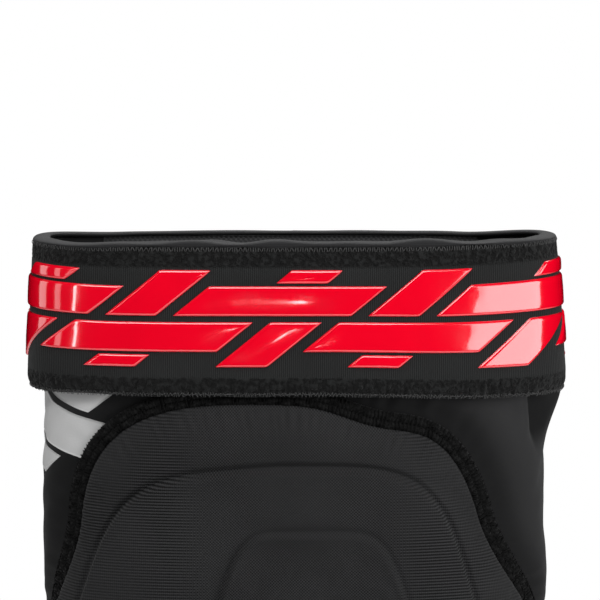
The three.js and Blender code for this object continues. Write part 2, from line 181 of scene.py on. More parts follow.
class Leg:
    """The inside surface of the sleeve, sampled once and read by interpolation."""

    SAMPLES = 1440
    STEP = 2 * MM
    LOW, HIGH = -6 * MM, 474 * MM
    REACH = 8
    TURNS = 720

    def __init__(self, centre_y: float) -> None:
        """Samples every outline of the surface.

        Args:
            centre_y: where the sections' own centre lies along Y, in metres.
        """
        self.centre_y = centre_y
        heights = np.arange(self.LOW, self.HIGH + self.STEP, self.STEP)
        outlines = [self._outline(z / MM) for z in heights]
        self.points = np.array([points for points, _, _ in outlines])
        self.perimeter = np.array([length for _, length, _ in outlines])
        self.heights = np.arange(len(self.perimeter)) * self.STEP + self.LOW
        self.front = np.array([share for _, _, share in outlines])
        ahead = np.roll(self.points[:, :-1], -self.REACH, 1)
        along = ahead - np.roll(self.points[:, :-1], self.REACH, 1)
        normals = np.stack([-along[..., 1], along[..., 0]], -1)
        normals /= np.linalg.norm(normals, axis=-1, keepdims=True)
        self.normals = np.concatenate([normals, normals[:, :1]], 1)

    @staticmethod
    def _between(key: str, z: float) -> float:
        """One of the sections' values, on a smooth curve through the sections.

        Args:
            key: which value.
            z: the height, in millimetres.

        Returns:
            The value at that height.
        """
        rows = SECTIONS
        last = len(rows) - 1
        at = min(max(sum(row.z <= z for row in rows) - 1, 0), last - 1)

        def slope(k: int) -> float:
            """How steep the curve is at a section."""
            a, b = rows[max(k - 1, 0)], rows[min(k + 1, last)]
            return (getattr(b, key) - getattr(a, key)) / (b.z - a.z)

        p, q = rows[at], rows[at + 1]
        span = q.z - p.z
        t = min(max((z - p.z) / span, 0), 1)
        rise = t * t * (3 - 2 * t)
        ease = t * (1 - t) ** 2 * slope(at) * span - t * t * (1 - t) * slope(at + 1) * span
        return getattr(p, key) + (getattr(q, key) - getattr(p, key)) * rise + ease

    def _outline(self, z: float) -> tuple[Array, float, float]:
        """One closed outline from the middle of the back, by the outer side.

        Args:
            z: the height, in millimetres.

        Returns:
            Points at equal shares of the way round, the length, and the front's share of it.
        """
        half, front, back = (self._between(key, z) * MM for key in ("half", "front", "back"))
        turn = np.linspace(0, TAU, self.TURNS + 1)
        across, ahead = np.sin(turn), -np.cos(turn)
        sides = np.where(across < 0, self._between("inner", z), self._between("outer", z))
        power = 2 / np.where(ahead > 0, sides, BACK_SQUARENESS)
        x = half * np.sign(across) * np.abs(across) ** power
        y = self.centre_y - np.where(ahead > 0, front, back) * np.sign(ahead) * np.abs(ahead) ** power
        run = np.concatenate([[0], np.cumsum(np.hypot(np.diff(x), np.diff(y)))])
        even = np.linspace(0, run[-1], self.SAMPLES + 1)
        points = np.stack([np.interp(even, run, x), np.interp(even, run, y)], 1)
        return points, run[-1], run[self.TURNS // 2] / run[-1]

    def _read(self, distance: Array, z: Array) -> tuple[Array, Array]:
        """The surface and its outward directions, in the horizontal plane.

        Args:
            distance: how far round from the front, positive to the outer side.
            z: the height.

        Returns:
            The points and the unit directions.
        """
        row = np.clip((z - self.LOW) / self.STEP, 0, len(self.perimeter) - 1.001)
        i = row.astype(int)
        up = row - i
        perimeter = self.perimeter[i] * (1 - up) + self.perimeter[i + 1] * up
        front = self.front[i] * (1 - up) + self.front[i + 1] * up
        column = ((front - distance / perimeter) % 1) * self.SAMPLES
        j = np.minimum(column.astype(int), self.SAMPLES - 1)
        on = (column - j)[..., None]
        up = up[..., None]

        def pick(table: Array) -> Array:
            """A table's values between its samples.

            Args:
                table: heights by places round, by any more.

            Returns:
                The values at each place asked for.
            """
            low = table[i, j] * (1 - on) + table[i, j + 1] * on
            high = table[i + 1, j] * (1 - on) + table[i + 1, j + 1] * on
            return low * (1 - up) + high * up

        normal = pick(self.normals)
        return pick(self.points), normal / np.linalg.norm(normal, axis=-1, keepdims=True)

    def at(self, distance: Any, z: Any, offset: Any = 0.0) -> Array:
        """Points on or off the surface.

        Args:
            distance: how far round from the front, positive to the outer side.
            z: the height.
            offset: how far outside the sleeve's inner face.

        Returns:
            An array of the arguments' shape with three numbers at each place.
        """
        distance, z, offset = np.broadcast_arrays(
            np.asarray(distance, float), np.asarray(z, float), np.asarray(offset, float)
        )
        place, normal = self._read(distance, z)
        return np.concatenate([place + normal * offset[..., None], z[..., None]], -1)

    def outward(self, distance: Any, z: Any) -> Array:
        """Level unit directions away from the leg.

        Args:
            distance, z: places, round from the front and up.

        Returns:
            An array of the arguments' shape with three numbers at each place.
        """
        distance, z = np.broadcast_arrays(np.asarray(distance, float), np.asarray(z, float))
        _, normal = self._read(distance, z)
        return np.concatenate([normal, np.zeros_like(z)[..., None]], -1)

    def girth(self, z: Any) -> Any:
        """The distance once round the surface at a height or at each of an array."""
        return np.interp(z, self.heights, self.perimeter)


def link(name: str, data: Any) -> bpy.types.Object:
    """Puts an object into the scene.

    Args:
        name: its name.
        data: its mesh, camera or light.

    Returns:
        The object.
    """
    made = bpy.data.objects.new(name, data)
    bpy.context.scene.collection.objects.link(made)
    return made


class Piece:
    """Quads of one closed piece, with a UV in metres at every corner."""

    def __init__(self) -> None:
        """Starts an empty piece."""
        self.points: list[Array] = []
        self.faces: list[Array] = []
        self.uvs: list[Array] = []
        self.count = 0

    def _add(self, points: Array) -> Array:
        """Adds points.

        Args:
            points: a lattice of points by three.

        Returns:
            The points' numbers, in the same layout.
        """
        flat = points.reshape(-1, 3)
        index = np.arange(self.count, self.count + len(flat)).reshape(points.shape[:-1])
        self.points.append(flat)
        self.count += len(flat)
        return index

    def _quads(self, index: Array, uv: Array) -> None:
        """Adds the quads of a lattice.

        Args:
            index: the number of each of its points.
            uv: the UV of each.
        """

        def corners(table: Array) -> Array:
            """The four corners of each quad."""
            four = (table[:-1, :-1], table[1:, :-1], table[1:, 1:], table[:-1, 1:])
            return np.stack(four, 2).reshape(-1, 4, *table.shape[2:])

        self.faces.append(corners(index))
        self.uvs.append(corners(uv))

    def ring(self, points: Array, along: Array, across: Array) -> "Piece":
        """A loop of a closed cross-section.

        Args:
            points: stations round the loop by points of the cross-section by three.
            along: the first UV at every station, and once more for the closing one.
            across: the second UV at every point of the cross-section, and once more.

        Returns:
            The piece itself.
        """
        index = self._add(points)
        index = np.concatenate([index, index[:1]], 0)
        index = np.concatenate([index, index[:, :1]], 1)
        self._quads(index, np.stack(np.meshgrid(along, across, indexing="ij"), -1))
        return self

    def lattice(self, points: Array) -> "Piece":
        """A single open sheet of points."""
        self._quads(self._add(points), points[..., :2])
        return self

    def slab(self, outer: Array, inner: Array, uv: Array) -> "Piece":
        """A sheet with an outer and an inner face.

        Args:
            outer: columns by rows of points.
            inner: the same, on the other face.
            uv: the UV of each.

        Returns:
            The piece itself.
        """
        a, b = self._add(outer), self._add(inner)
        self._quads(a, uv)
        self._quads(b[:, ::-1], uv[:, ::-1])
        for edge in (np.s_[0, :], np.s_[-1, ::-1], np.s_[::-1, 0], np.s_[:, -1]):
            self._quads(np.stack([a[edge], b[edge]]), np.stack([uv[edge], uv[edge]]))
        return self

    def build(self, name: str) -> bpy.types.Object:
        """Makes the object, smooth and with its faces pointing out.

        Args:
            name: the piece's name.

        Returns:
            The object, at the origin.
        """
        points, faces = np.concatenate(self.points), np.concatenate(self.faces)
        uv = np.concatenate(self.uvs)
        a, b, c, d = (points[faces[:, k]] for k in range(4))
        volume = (a * np.cross(b, c)).sum() + (a * np.cross(c, d)).sum()
        if volume < 0:
            faces, uv = faces[:, ::-1], uv[:, ::-1]
        mesh = bpy.data.meshes.new(name)
        mesh.from_pydata(points.tolist(), [], faces.tolist())
        mesh.uv_layers.new(name="cloth").data.foreach_set("uv", uv.astype(np.float32).ravel())
        mesh.polygons.foreach_set("use_smooth", [True] * len(mesh.polygons))
        mesh.update()
        return link(name, mesh)


def join_ring(leg: Leg, name: str, profile: Callable[[Array], tuple[Array, Array]], stations: int,
              points: int) -> bpy.types.Object:
    """A ring round the leg.

    Args:
        leg: the surface.
        name: the piece's name.
        profile: from the share of the way round to the heights and offsets of the cross-section.
        stations: how many sections there are.
        points: how many points each section has.

    Returns:
        The object.
    """
    share = np.linspace(0, 1, stations, endpoint=False)[:, None] * np.ones(points)
    z, offset = profile(share)
    girth = leg.girth(float(z.mean()))
    places = leg.at((share - 0.5) * leg.girth(z), z, offset)
    step = np.hypot(np.diff(z[0], append=z[0, :1]), np.diff(offset[0], append=offset[0, :1]))
    across = np.concatenate([[0], np.cumsum(step)])
    return Piece().ring(places, np.linspace(0, girth, stations + 1), across).build(name)


def rounded(low: float, high: float, inside: float, outside: float, corner: float,
            steps: int = 3) -> tuple[Array, Array]:
    """A closed cross-section with round corners.

    Args:
        low, high: its heights.
        inside, outside: its offsets.
        corner: the corners' radius.
        steps: points in each corner, less one.

    Returns:
        The heights and the offsets of its points.
    """
    heights, offsets = [], []
    centres = ((low, outside, 0), (high, outside, 1), (high, inside, 2), (low, inside, 3))
    for z, out, quarter in centres:
        up = corner if z == low else -corner
        aside = -corner if out == outside else corner
        for k in range(steps + 1):
            angle = (quarter - 1 + k / steps) * TAU / 4
            heights.append(z + up + corner * math.sin(angle))
            offsets.append(out + aside + corner * math.cos(angle))
    return np.array(heights), np.array(offsets)


def bake(made: bpy.types.Object) -> bpy.types.Object:
    """Turns an object's modifiers into its mesh.

    Args:
        made: the object.

    Returns:
        The same object, with a plain mesh.
    """
    evaluated = made.evaluated_get(bpy.context.evaluated_depsgraph_get())
    mesh = bpy.data.meshes.new_from_object(evaluated)
    made.modifiers.clear()
    made.data = mesh
    return made


class Graph:
    """A node tree that is written with expressions."""

    def __init__(self, tree: bpy.types.NodeTree) -> None:
        """Wraps a tree."""
        self.tree = tree

    def node(self, kind: str, settings: dict[str, Any] | None = None,
             inputs: dict[int | str, Any] | None = None) -> "Node":
        """Adds a node.

        Args:
            kind: the node's type.
            settings: its own settings, set before its sockets.
            inputs: values or signals by socket name or number.

        Returns:
            The node, whose outputs are read by name or number.
        """
        made = self.tree.nodes.new(kind)
        for key, value in (settings or {}).items():
            setattr(made, key, value)
        for key, value in (inputs or {}).items():
            if isinstance(value, Signal):
                self.tree.links.new(value.socket, made.inputs[key])
            else:
                made.inputs[key].default_value = value
        return Node(self, made)

    def maths(self, operation: str, *values: Any) -> "Signal":
        """Adds a Math node."""
        return self.node("ShaderNodeMath", {"operation": operation}, dict(enumerate(values)))[0]


@dataclass(frozen=True)
class Node:
    """A node whose outputs are signals."""

    graph: Graph
    made: Any

    def __getitem__(self, key: int | str) -> "Signal":
        """The output of that name or number."""
        return Signal(self.graph, self.made.outputs[key])


@dataclass(frozen=True)
class Signal:
    """A value that flows between nodes, which takes part in expressions."""

    graph: Graph
    socket: Any

    def __add__(self, other: Any) -> "Signal":
        """Sum."""
        return self.graph.maths("ADD", self, other)

    def __sub__(self, other: Any) -> "Signal":
        """Difference."""
        return self.graph.maths("SUBTRACT", self, other)

    def __rsub__(self, other: Any) -> "Signal":
        """Difference, the other way round."""
        return self.graph.maths("SUBTRACT", other, self)

    def __mul__(self, other: Any) -> "Signal":
        """Product."""
        return self.graph.maths("MULTIPLY", self, other)

    def __truediv__(self, other: Any) -> "Signal":
        """Quotient."""
        return self.graph.maths("DIVIDE", self, other)

    def __mod__(self, other: Any) -> "Signal":
        """Remainder."""
        return self.graph.maths("MODULO", self, other)

    __radd__, __rmul__ = __add__, __mul__

    def __abs__(self) -> "Signal":
        """Size without its sign."""
        return self.graph.maths("ABSOLUTE", self)

    def floor(self) -> "Signal":
        """The whole number below."""
        return self.graph.maths("FLOOR", self)

    def wave(self, pitch: float) -> "Signal":
        """A sine in -1..1 that repeats at each pitch."""
        return self.graph.maths("SINE", self * (TAU / pitch))

    def step(self, low: float, high: float) -> "Signal":
        """A soft step from 0 at low to 1 at high."""
        inputs = {"Value": self, "From Min": low, "From Max": high}
        return self.graph.node("ShaderNodeMapRange", {"interpolation_type": "SMOOTHSTEP"}, inputs)[0]


class Shading(Graph):
    """A material under construction, with its usual inputs at hand."""

    def __init__(self, name: str) -> None:
        """Starts a material.

        Args:
            name: the material's name.
        """
        self.material = bpy.data.materials.new(name)
        self.material.use_nodes = True
        super().__init__(self.material.node_tree)
        self.tree.nodes.clear()

    def cloth(self) -> tuple[Signal, Signal]:
        """Reads the cloth's own coordinates.

        Returns:
            The distances round and up, in metres.
        """
        uv = self.node("ShaderNodeUVMap", {"uv_map": "cloth"})[0]
        split = self.node("ShaderNodeSeparateXYZ", inputs={0: uv})
        return split[0], split[1]

    def place(self) -> Signal:
        """The place on the piece, in metres."""
        return self.node("ShaderNodeTexCoord")["Object"]

    def stretch_and_shade(self) -> Signal:
        """The cloth's painted lightness, from 0 to 1: random tone with painted shade beside seams and in
        folds.
        """
        return self.node("ShaderNodeAttribute", {"attribute_name": "stretch_and_shade"})["Fac"]

    def noise(self, scale: float, detail: float = 2.0, vector: Signal | None = None) -> Signal:
        """Cloudy noise in 0..1 with so many features to the metre."""
        inputs = {"Vector": vector or self.place(), "Scale": scale, "Detail": detail}
        return self.node("ShaderNodeTexNoise", inputs=inputs)[0]

    def mix(self, share: Any, first: Colour, second: Colour) -> Signal:
        """A colour between two."""
        inputs = {"Factor": share, 6: (*first, 1.0), 7: (*second, 1.0)}
        return self.node("ShaderNodeMix", {"data_type": "RGBA"}, inputs)[2]

    def bump(self, height: Signal, distance: float, strength: float = 1.0) -> Signal:
        """A normal from a height in 0..1 that stands for a distance."""
        inputs = {"Height": height, "Distance": distance, "Strength": strength}
        return self.node("ShaderNodeBump", inputs=inputs)[0]

    def surface(self, **inputs: Any) -> bpy.types.Material:
        """Ends the material with one principled surface.

        Args:
            inputs: values or signals by socket name, with _ for a space.

        Returns:
            The material.
        """
        named = {key.replace("_", " "): value for key, value in inputs.items()}
        shader = self.node("ShaderNodeBsdfPrincipled", inputs=named)
        self.node("ShaderNodeOutputMaterial", inputs={"Surface": shader[0]})
        return self.material


class Weave(Enum):
    """How a cloth's yarns show."""

    UPRIGHT_RIBS = "upright ribs"
    PAD_RIBS = "level ribs with a dotted middle"
    FINE_JERSEY = "fine jersey"
    OPEN_MESH = "open mesh"


def darker(colour: Colour, share: float) -> Colour:
    """A colour at a share of its brightness."""
    return tuple(part * share for part in colour)


@dataclass(frozen=True)
class ClothFinish:
    """A knitted or woven cloth; strips are the heights between which it is gathered."""

    name: str
    dark: Colour
    light: Colour
    weave: Weave
    pitch: float
    relief: float
    roughness: float = 0.85
    sheen: float = 0.05
    contrast: float = 0.75
    strips: tuple[tuple[float, float], ...] = ()
    # Whether the colour reads the mesh's lightness attribute: random tone with painted shade.
    reads_stretch_and_shade: bool = False
    middle: float = 34 * MM
    fibres_per_metre: float = 2600.0
    patches_per_metre: float = 38.0
    crumples_per_metre: float = 620.0
    crumple_height: float = 3.2

    def _pattern(self, shading: Shading) -> Signal:
        """Draws the yarns.

        Args:
            shading: the material under construction.

        Returns:
            Their height, in 0..1.
        """
        round_it, up = shading.cloth()
        half, fine = self.pitch / 2, self.pitch * 0.62
        if self.weave is Weave.UPRIGHT_RIBS:
            stagger = (round_it / self.pitch).floor() * (fine / 2)
            return round_it.wave(self.pitch) * 0.36 + (up + stagger).wave(fine) * 0.14 + 0.5
        if self.weave is Weave.PAD_RIBS:
            pulled = shading.noise(22, 1.0).step(0.36, 0.62) * 0.36 + 0.12
            ribs = up.wave(self.pitch) * pulled + round_it.wave(fine) * 0.1
            dots = up.wave(self.pitch) * round_it.wave(self.pitch) * 0.36
            inside = abs(round_it).step(self.middle + 9 * MM, self.middle - 9 * MM)
            return ribs * (1 - inside) + dots * inside + 0.5
        if self.weave is Weave.OPEN_MESH:
            rows = round_it.wave(self.pitch) * up.wave(self.pitch)
            return (rows * 0.5 + 0.5).step(0.3, 0.75)
        return (round_it.wave(self.pitch) * (up + round_it * 0.5).wave(half)) * 0.4 + 0.5

    def _gathered(self, shading: Shading) -> Signal | float:
        """Marks the gathered strips.

        Args:
            shading: the material under construction.

        Returns:
            1 in the strips and 0 elsewhere.
        """
        _, up = shading.cloth()
        soft = 0.5 * MM
        total: Signal | float = 0.0
        for low, high in self.strips:
            total = up.step(low - soft, low + soft) * up.step(high + soft, high - soft) + total
        return total

    def material(self) -> bpy.types.Material:
        """Builds the material.

        Returns:
            The material, ready to use.
        """
        shading = Shading(self.name)
        yarn = self._pattern(shading)
        fibre = shading.noise(self.fibres_per_metre, 3.0)
        patch = shading.noise(self.patches_per_metre, 2.0)
        tone = (yarn - 0.5) * self.contrast + fibre * 0.45 + patch * 0.35 + 0.08
        height = yarn * 0.75 + fibre * 0.25
        if self.strips:
            gathered = self._gathered(shading)
            crumple = shading.noise(self.crumples_per_metre, 4.0).step(0.36, 0.64)
            height = height * (1 - gathered) + crumple * self.crumple_height * gathered
            # Painted shade and light: in the gathered strips the colour is darker overall, lighter on the
            # crumples' raised parts and darker in their folds.
            tone = tone * (1 - gathered) + (crumple * 0.6 - 0.25) * gathered
        # Painted shade: where the lightness attribute is low, the knit is drawn darker: beside the pad's
        # seam, on the inner side, and inside the fold under the cuff.
        if self.reads_stretch_and_shade:
            pulled = shading.stretch_and_shade()
            tone = tone * (pulled * 1.3 + 0.2) * 0.45 + pulled * 0.5
        return shading.surface(
            Base_Color=shading.mix(tone, self.dark, self.light),
            Roughness=fibre * 0.12 + (self.roughness - 0.06),
            Sheen_Weight=self.sheen,
            Sheen_Roughness=0.45,
            Specular_IOR_Level=0.12,
            Normal=shading.bump(height, self.relief),
        )


@dataclass(frozen=True)
class SiliconeFinish:
    """Glossy moulded silicone."""

    name: str
    colour: Colour
    roughness: float = 0.13

    def material(self) -> bpy.types.Material:
        """Builds the material.

        Returns:
            The material, ready to use.
        """
        shading = Shading(self.name)
        swell = shading.noise(85, 1.0)
        speck = shading.noise(900, 2.0)
        return shading.surface(
            Base_Color=shading.mix(swell, darker(self.colour, 0.9), self.colour),
            Roughness=speck * 0.06 + (self.roughness - 0.03),
            IOR=1.55,
            Coat_Weight=1.0,
            Coat_IOR=1.7,
            Coat_Roughness=0.05,
            Normal=shading.bump(swell + speck * 0.012, 0.5 * MM, 0.5),
        )


@dataclass(frozen=True)
class ThreadFinish:
    """Twisted sewing thread."""

    name: str
    colour: Colour
    gloss: float = 0.3
    sheen: float = 0.1

    def material(self) -> bpy.types.Material:
        """Builds the material.

        Returns:
            The material, ready to use.
        """
        shading = Shading(self.name)
        ply = shading.noise(3200, 1.0)
        return shading.surface(
            Base_Color=shading.mix(ply.step(0.3, 0.7), darker(self.colour, 0.45), self.colour),
            Roughness=ply * 0.2 + 0.6,
            Specular_IOR_Level=self.gloss,
            Sheen_Weight=self.sheen,
            Normal=shading.bump(ply, 0.12 * MM),
        )


@dataclass(frozen=True)
class FilmFinish:
    """Heat-pressed film with a faint cloth texture telegraphing through it."""

    name: str
    colour: Colour

    def material(self) -> bpy.types.Material:
        """Builds the material.

        Returns:
            The material, ready to use.
        """
        shading = Shading(self.name)
        grain = shading.noise(1500, 2.0)
        cloud = shading.noise(30, 1.0)
        return shading.surface(
            Base_Color=shading.mix(grain * 0.5 + cloud * 0.5, darker(self.colour, 0.95), self.colour),
            Roughness=grain * 0.15 + 0.56,
            Normal=shading.bump(grain, 0.05 * MM),
        )


@dataclass(frozen=True)
class MouldedFinish:
    """Foam or plastic inside a pad."""

    name: str
    colour: Colour
    cell: float
    roughness: float

    def material(self) -> bpy.types.Material:
        """Builds the material.

        Returns:
            The material, ready to use.
        """
        shading = Shading(self.name)
        inputs = {"Vector": shading.place(), "Scale": 1 / self.cell}
        cells = shading.node("ShaderNodeTexVoronoi", inputs=inputs)["Distance"]
        return shading.surface(
            Base_Color=shading.mix(cells, darker(self.colour, 0.7), self.colour),
            Roughness=cells * 0.2 + (self.roughness - 0.1),
            Normal=shading.bump(cells, self.cell * 0.3),
        )


GATHERED = ((408 * MM, 416.2 * MM), (452.8 * MM, 459 * MM))
ELASTIC = ClothFinish("woven_elastic", (0.0045, 0.0045, 0.0045), (0.0225, 0.0235, 0.0235),
                      Weave.UPRIGHT_RIBS, 0.74 * MM, 0.2 * MM, strips=GATHERED)
ANKLE_ELASTIC = ClothFinish("ankle_elastic", (0.005, 0.005, 0.005), (0.028, 0.029, 0.029),
                            Weave.UPRIGHT_RIBS, 0.74 * MM, 0.2 * MM)
SEAM_TAPE = ClothFinish("seam_tape", (0.001, 0.001, 0.001), (0.006, 0.006, 0.006),
                        Weave.UPRIGHT_RIBS, 1.25 * MM, 0.4 * MM)
JERSEY = ClothFinish("sleeve_jersey", (0.0022, 0.0022, 0.0024), (0.034, 0.034, 0.035),
                     Weave.FINE_JERSEY, 0.8 * MM, 0.06 * MM, 0.7, 0.06, reads_stretch_and_shade=True)
LIP_JERSEY = ClothFinish("lip_jersey", (0.006, 0.006, 0.0063), (0.02, 0.02, 0.021),
                         Weave.FINE_JERSEY, 0.8 * MM, 0.06 * MM, 0.7, 0.06)
PAD_KNIT = ClothFinish("ribbed_cover", (0.0015, 0.0015, 0.0016), (0.026, 0.026, 0.027),
                       Weave.PAD_RIBS, 1.0 * MM, 0.36 * MM, 0.75, 0.05, contrast=1.25)
MESH_KNIT = ClothFinish("mesh_knit", (0.021, 0.021, 0.0215), (0.062, 0.062, 0.064),
                        Weave.OPEN_MESH, 1.7 * MM, 0.16 * MM, contrast=0.4)
RIB_KNIT = ClothFinish("rib_knit", (0.005, 0.005, 0.0052), (0.022, 0.022, 0.023),
                       Weave.FINE_JERSEY, 0.6 * MM, 0.1 * MM)
SILICONE = SiliconeFinish("red_silicone", (0.765, 0.0, 0.014))
THREAD = ThreadFinish("black_thread", (0.014, 0.014, 0.014))
SEAM_THREAD = ThreadFinish("seam_thread", (0.0035, 0.0035, 0.0035), gloss=0.08, sheen=0.0)
EDGE_THREAD = ThreadFinish("edge_thread", (0.055, 0.055, 0.055))
FILM = FilmFinish("reflective_film", (0.41, 0.41, 0.41))
FOAM = MouldedFinish("pad_foam", (0.1, 0.1, 0.11), 0.8 * MM, 0.9)
PLATE = MouldedFinish("moulded_plate", (0.045, 0.045, 0.05), 1.6 * MM, 0.5)
Finish = ClothFinish | SiliconeFinish | ThreadFinish | FilmFinish | MouldedFinish


class Wardrobe:
    """Each finish's material, made once."""

    def __init__(self) -> None:
        """Starts with no materials."""
        self.made: dict[str, bpy.types.Material] = {}

    def dress(self, piece: bpy.types.Object, finish: Finish) -> bpy.types.Object:
        """Gives a piece its finish, in place of any it had.

        Args:
            piece: the object.
            finish: one of the finishes above.

        Returns:
            The object.
        """
        if finish.name not in self.made:
            self.made[finish.name] = finish.material()
        piece.data.materials.clear()
        piece.data.materials.append(self.made[finish.name])
        return piece


@dataclass(frozen=True)
class Stitch:
    """A row of stitches: each is a bowed length of thread across its path."""

    SIZES: ClassVar[tuple[str, ...]] = ("Across", "Pitch", "Thread", "Rise", "Lean", "Jitter")

    across: float
    pitch: float
    thread: float
    rise: float
    lean: float = 0.0
    jitter: float = 0.12
    seed: int = 3

    def tree(self) -> bpy.types.NodeTree:
        """Makes the Geometry Nodes tree that sews any such row, once for all.

        Returns:
            The tree.
        """
        known = bpy.data.node_groups.get("stitch_row")
        if known:
            return known
        tree = bpy.data.node_groups.new("stitch_row", "GeometryNodeTree")
        kinds = {"Path": "Geometry", **dict.fromkeys(self.SIZES, "Float"), "Seed": "Int"}
        for name, kind in (kinds | {"Finish": "Material"}).items():
            tree.interface.new_socket(name, in_out="INPUT", socket_type=f"NodeSocket{kind}")
        tree.interface.new_socket("Stitches", in_out="OUTPUT", socket_type="NodeSocketGeometry")
        graph = Graph(tree)
        given = graph.node("NodeGroupInput")
        curve = graph.node("GeometryNodeMeshToCurve", inputs={"Mesh": given["Path"]})["Curve"]
        path = graph.node("GeometryNodeResampleCurve", {"mode": "LENGTH"},
                          {"Curve": curve, "Length": given["Pitch"]})["Curve"]
        half = given["Across"] / 2
        ends = [graph.node("ShaderNodeCombineXYZ", inputs={"Y": side})[0] for side in (half * -1, half)]
        middle = graph.node("ShaderNodeCombineXYZ", inputs={"Z": given["Rise"] * 2})[0]
        bow_inputs = {"Resolution": 6, "Start": ends[0], "Middle": middle, "End": ends[1]}
        bow = graph.node("GeometryNodeCurveQuadraticBezier", inputs=bow_inputs)["Curve"]
        ring = graph.node("GeometryNodeCurvePrimitiveCircle",
                          inputs={"Resolution": 5, "Radius": given["Thread"]})["Curve"]
        thread = graph.node("GeometryNodeCurveToMesh",
                            inputs={"Curve": bow, "Profile Curve": ring, "Fill Caps": True})["Mesh"]
        outward = graph.node("GeometryNodeInputNamedAttribute", {"data_type": "FLOAT_VECTOR"},
                             {"Name": "outward"})["Attribute"]
        upright = graph.node("FunctionNodeAlignRotationToVector", {"axis": "Z"}, {"Vector": outward})[0]
        tangent = graph.node("GeometryNodeInputTangent")[0]
        facing = graph.node("FunctionNodeAlignRotationToVector", {"axis": "X", "pivot_axis": "Z"},
                            {"Rotation": upright, "Vector": tangent})[0]
        index = graph.node("GeometryNodeInputIndex")[0]
        odd = index % 2.0
        shake_inputs = {2: given["Jitter"] * -1, 3: given["Jitter"], "ID": index, "Seed": given["Seed"]}
        shake = graph.node("FunctionNodeRandomValue", {"data_type": "FLOAT"}, shake_inputs)[1]
        angle = (odd * 2 - 1) * given["Lean"] + shake
        turn = graph.node("FunctionNodeAxisAngleToRotation",
                          inputs={"Axis": (0.0, 0.0, 1.0), "Angle": angle})[0]
        leaning = graph.node("FunctionNodeRotateRotation", {"rotation_space": "LOCAL"},
                             {"Rotation": facing, "Rotate By": turn})[0]
        placed = graph.node("GeometryNodeInstanceOnPoints",
                            inputs={"Points": path, "Instance": thread, "Rotation": leaning})["Instances"]
        real = graph.node("GeometryNodeRealizeInstances", inputs={"Geometry": placed})["Geometry"]
        soft = graph.node("GeometryNodeSetShadeSmooth", inputs={"Geometry": real})["Geometry"]
        dressed = graph.node("GeometryNodeSetMaterial",
                             inputs={"Geometry": soft, "Material": given["Finish"]})["Geometry"]
        graph.node("NodeGroupOutput", inputs={"Stitches": dressed})
        return tree

    def sew(self, name: str, wardrobe: Wardrobe, finish: ThreadFinish, path: Path) -> bpy.types.Object:
        """Sews the stitches along a path.

        Args:
            name: the piece's name.
            wardrobe: where the thread's material is kept.
            finish: the thread's finish.
            path: its points, the outward direction at each, and whether it closes.

        Returns:
            The stitches as one plain mesh.
        """
        points, outward, closed = path
        count = len(points)
        edges = [(k, (k + 1) % count) for k in range(count if closed else count - 1)]
        mesh = bpy.data.meshes.new(name)
        mesh.from_pydata(points.tolist(), edges, [])
        directions = mesh.attributes.new("outward", "FLOAT_VECTOR", "POINT")
        directions.data.foreach_set("vector", outward.astype(np.float32).ravel())
        made = wardrobe.dress(link(name, mesh), finish)
        modifier = made.modifiers.new("stitches", "NODES")
        modifier.node_group = self.tree()
        values = {size: getattr(self, size.lower()) for size in (*self.SIZES, "Seed")}
        values["Finish"] = wardrobe.made[finish.name]
        for item in modifier.node_group.interface.items_tree:
            if item.name in values:
                modifier[item.identifier] = values[item.name]
        return bake(made)


@dataclass
class Assembly:
    """What every sub-assembly shares: the leg, the wardrobe and the body that it rides on."""

    leg: Leg
    wardrobe: Wardrobe
    body: str

    def keep(self, piece: bpy.types.Object, finish: Finish, slot: str, *nodes: str) -> bpy.types.Object:
        """Dresses a piece and fixes it to the frame.

        Args:
            piece: the object.
            finish: its finish.
            slot: a material slot name; not used.
            nodes: the CAD nodes it stands for.

        Returns:
            The object.
        """
        self.wardrobe.dress(piece, finish)
        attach(piece, self.body)
        if nodes:
            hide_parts(*nodes)
        LOG.info("%s: %d faces", piece.name, len(piece.data.polygons))
        return piece

    def path(self, distance: Array, z: Array, offset: Array, closed: bool = False) -> Path:
        """A path on the leg for stitches, with its outward directions."""
        return self.leg.at(distance, z, offset), self.leg.outward(distance, z), closed

    def loop_path(self, z: float, offset: float, count: int = 420) -> Path:
        """A closed level path round the leg."""
        distance = np.linspace(-0.5, 0.5, count, endpoint=False) * self.leg.girth(z)
        return self.path(distance, z, offset, closed=True)

    def sew(self, name: str, row: Stitch, finish: ThreadFinish, path: Path, *nodes: str) -> None:
        """Sews a row of stitches and fixes it to the frame.

        Args:
            name: the piece's name.
            row: the kind of stitches.
            finish: their thread.
            path: where they run.
            nodes: the CAD nodes they stand for.
        """
        self.keep(row.sew(name, self.wardrobe, finish, path), finish, "seam_thread", *nodes)

    def layer(self, name: str, distance: Array, z: Array, outer: Array, inner: Array) -> bpy.types.Object:
        """A closed layer between two offsets from the leg.

        Args:
            name: the piece's name.
            distance, z: its places on the leg, columns by rows.
            outer, inner: the offsets of its two faces.

        Returns:
            The object.
        """
        faces = (self.leg.at(distance, z, offset) for offset in (outer, inner))
        return Piece().slab(*faces, np.stack([distance, z], -1)).build(name)


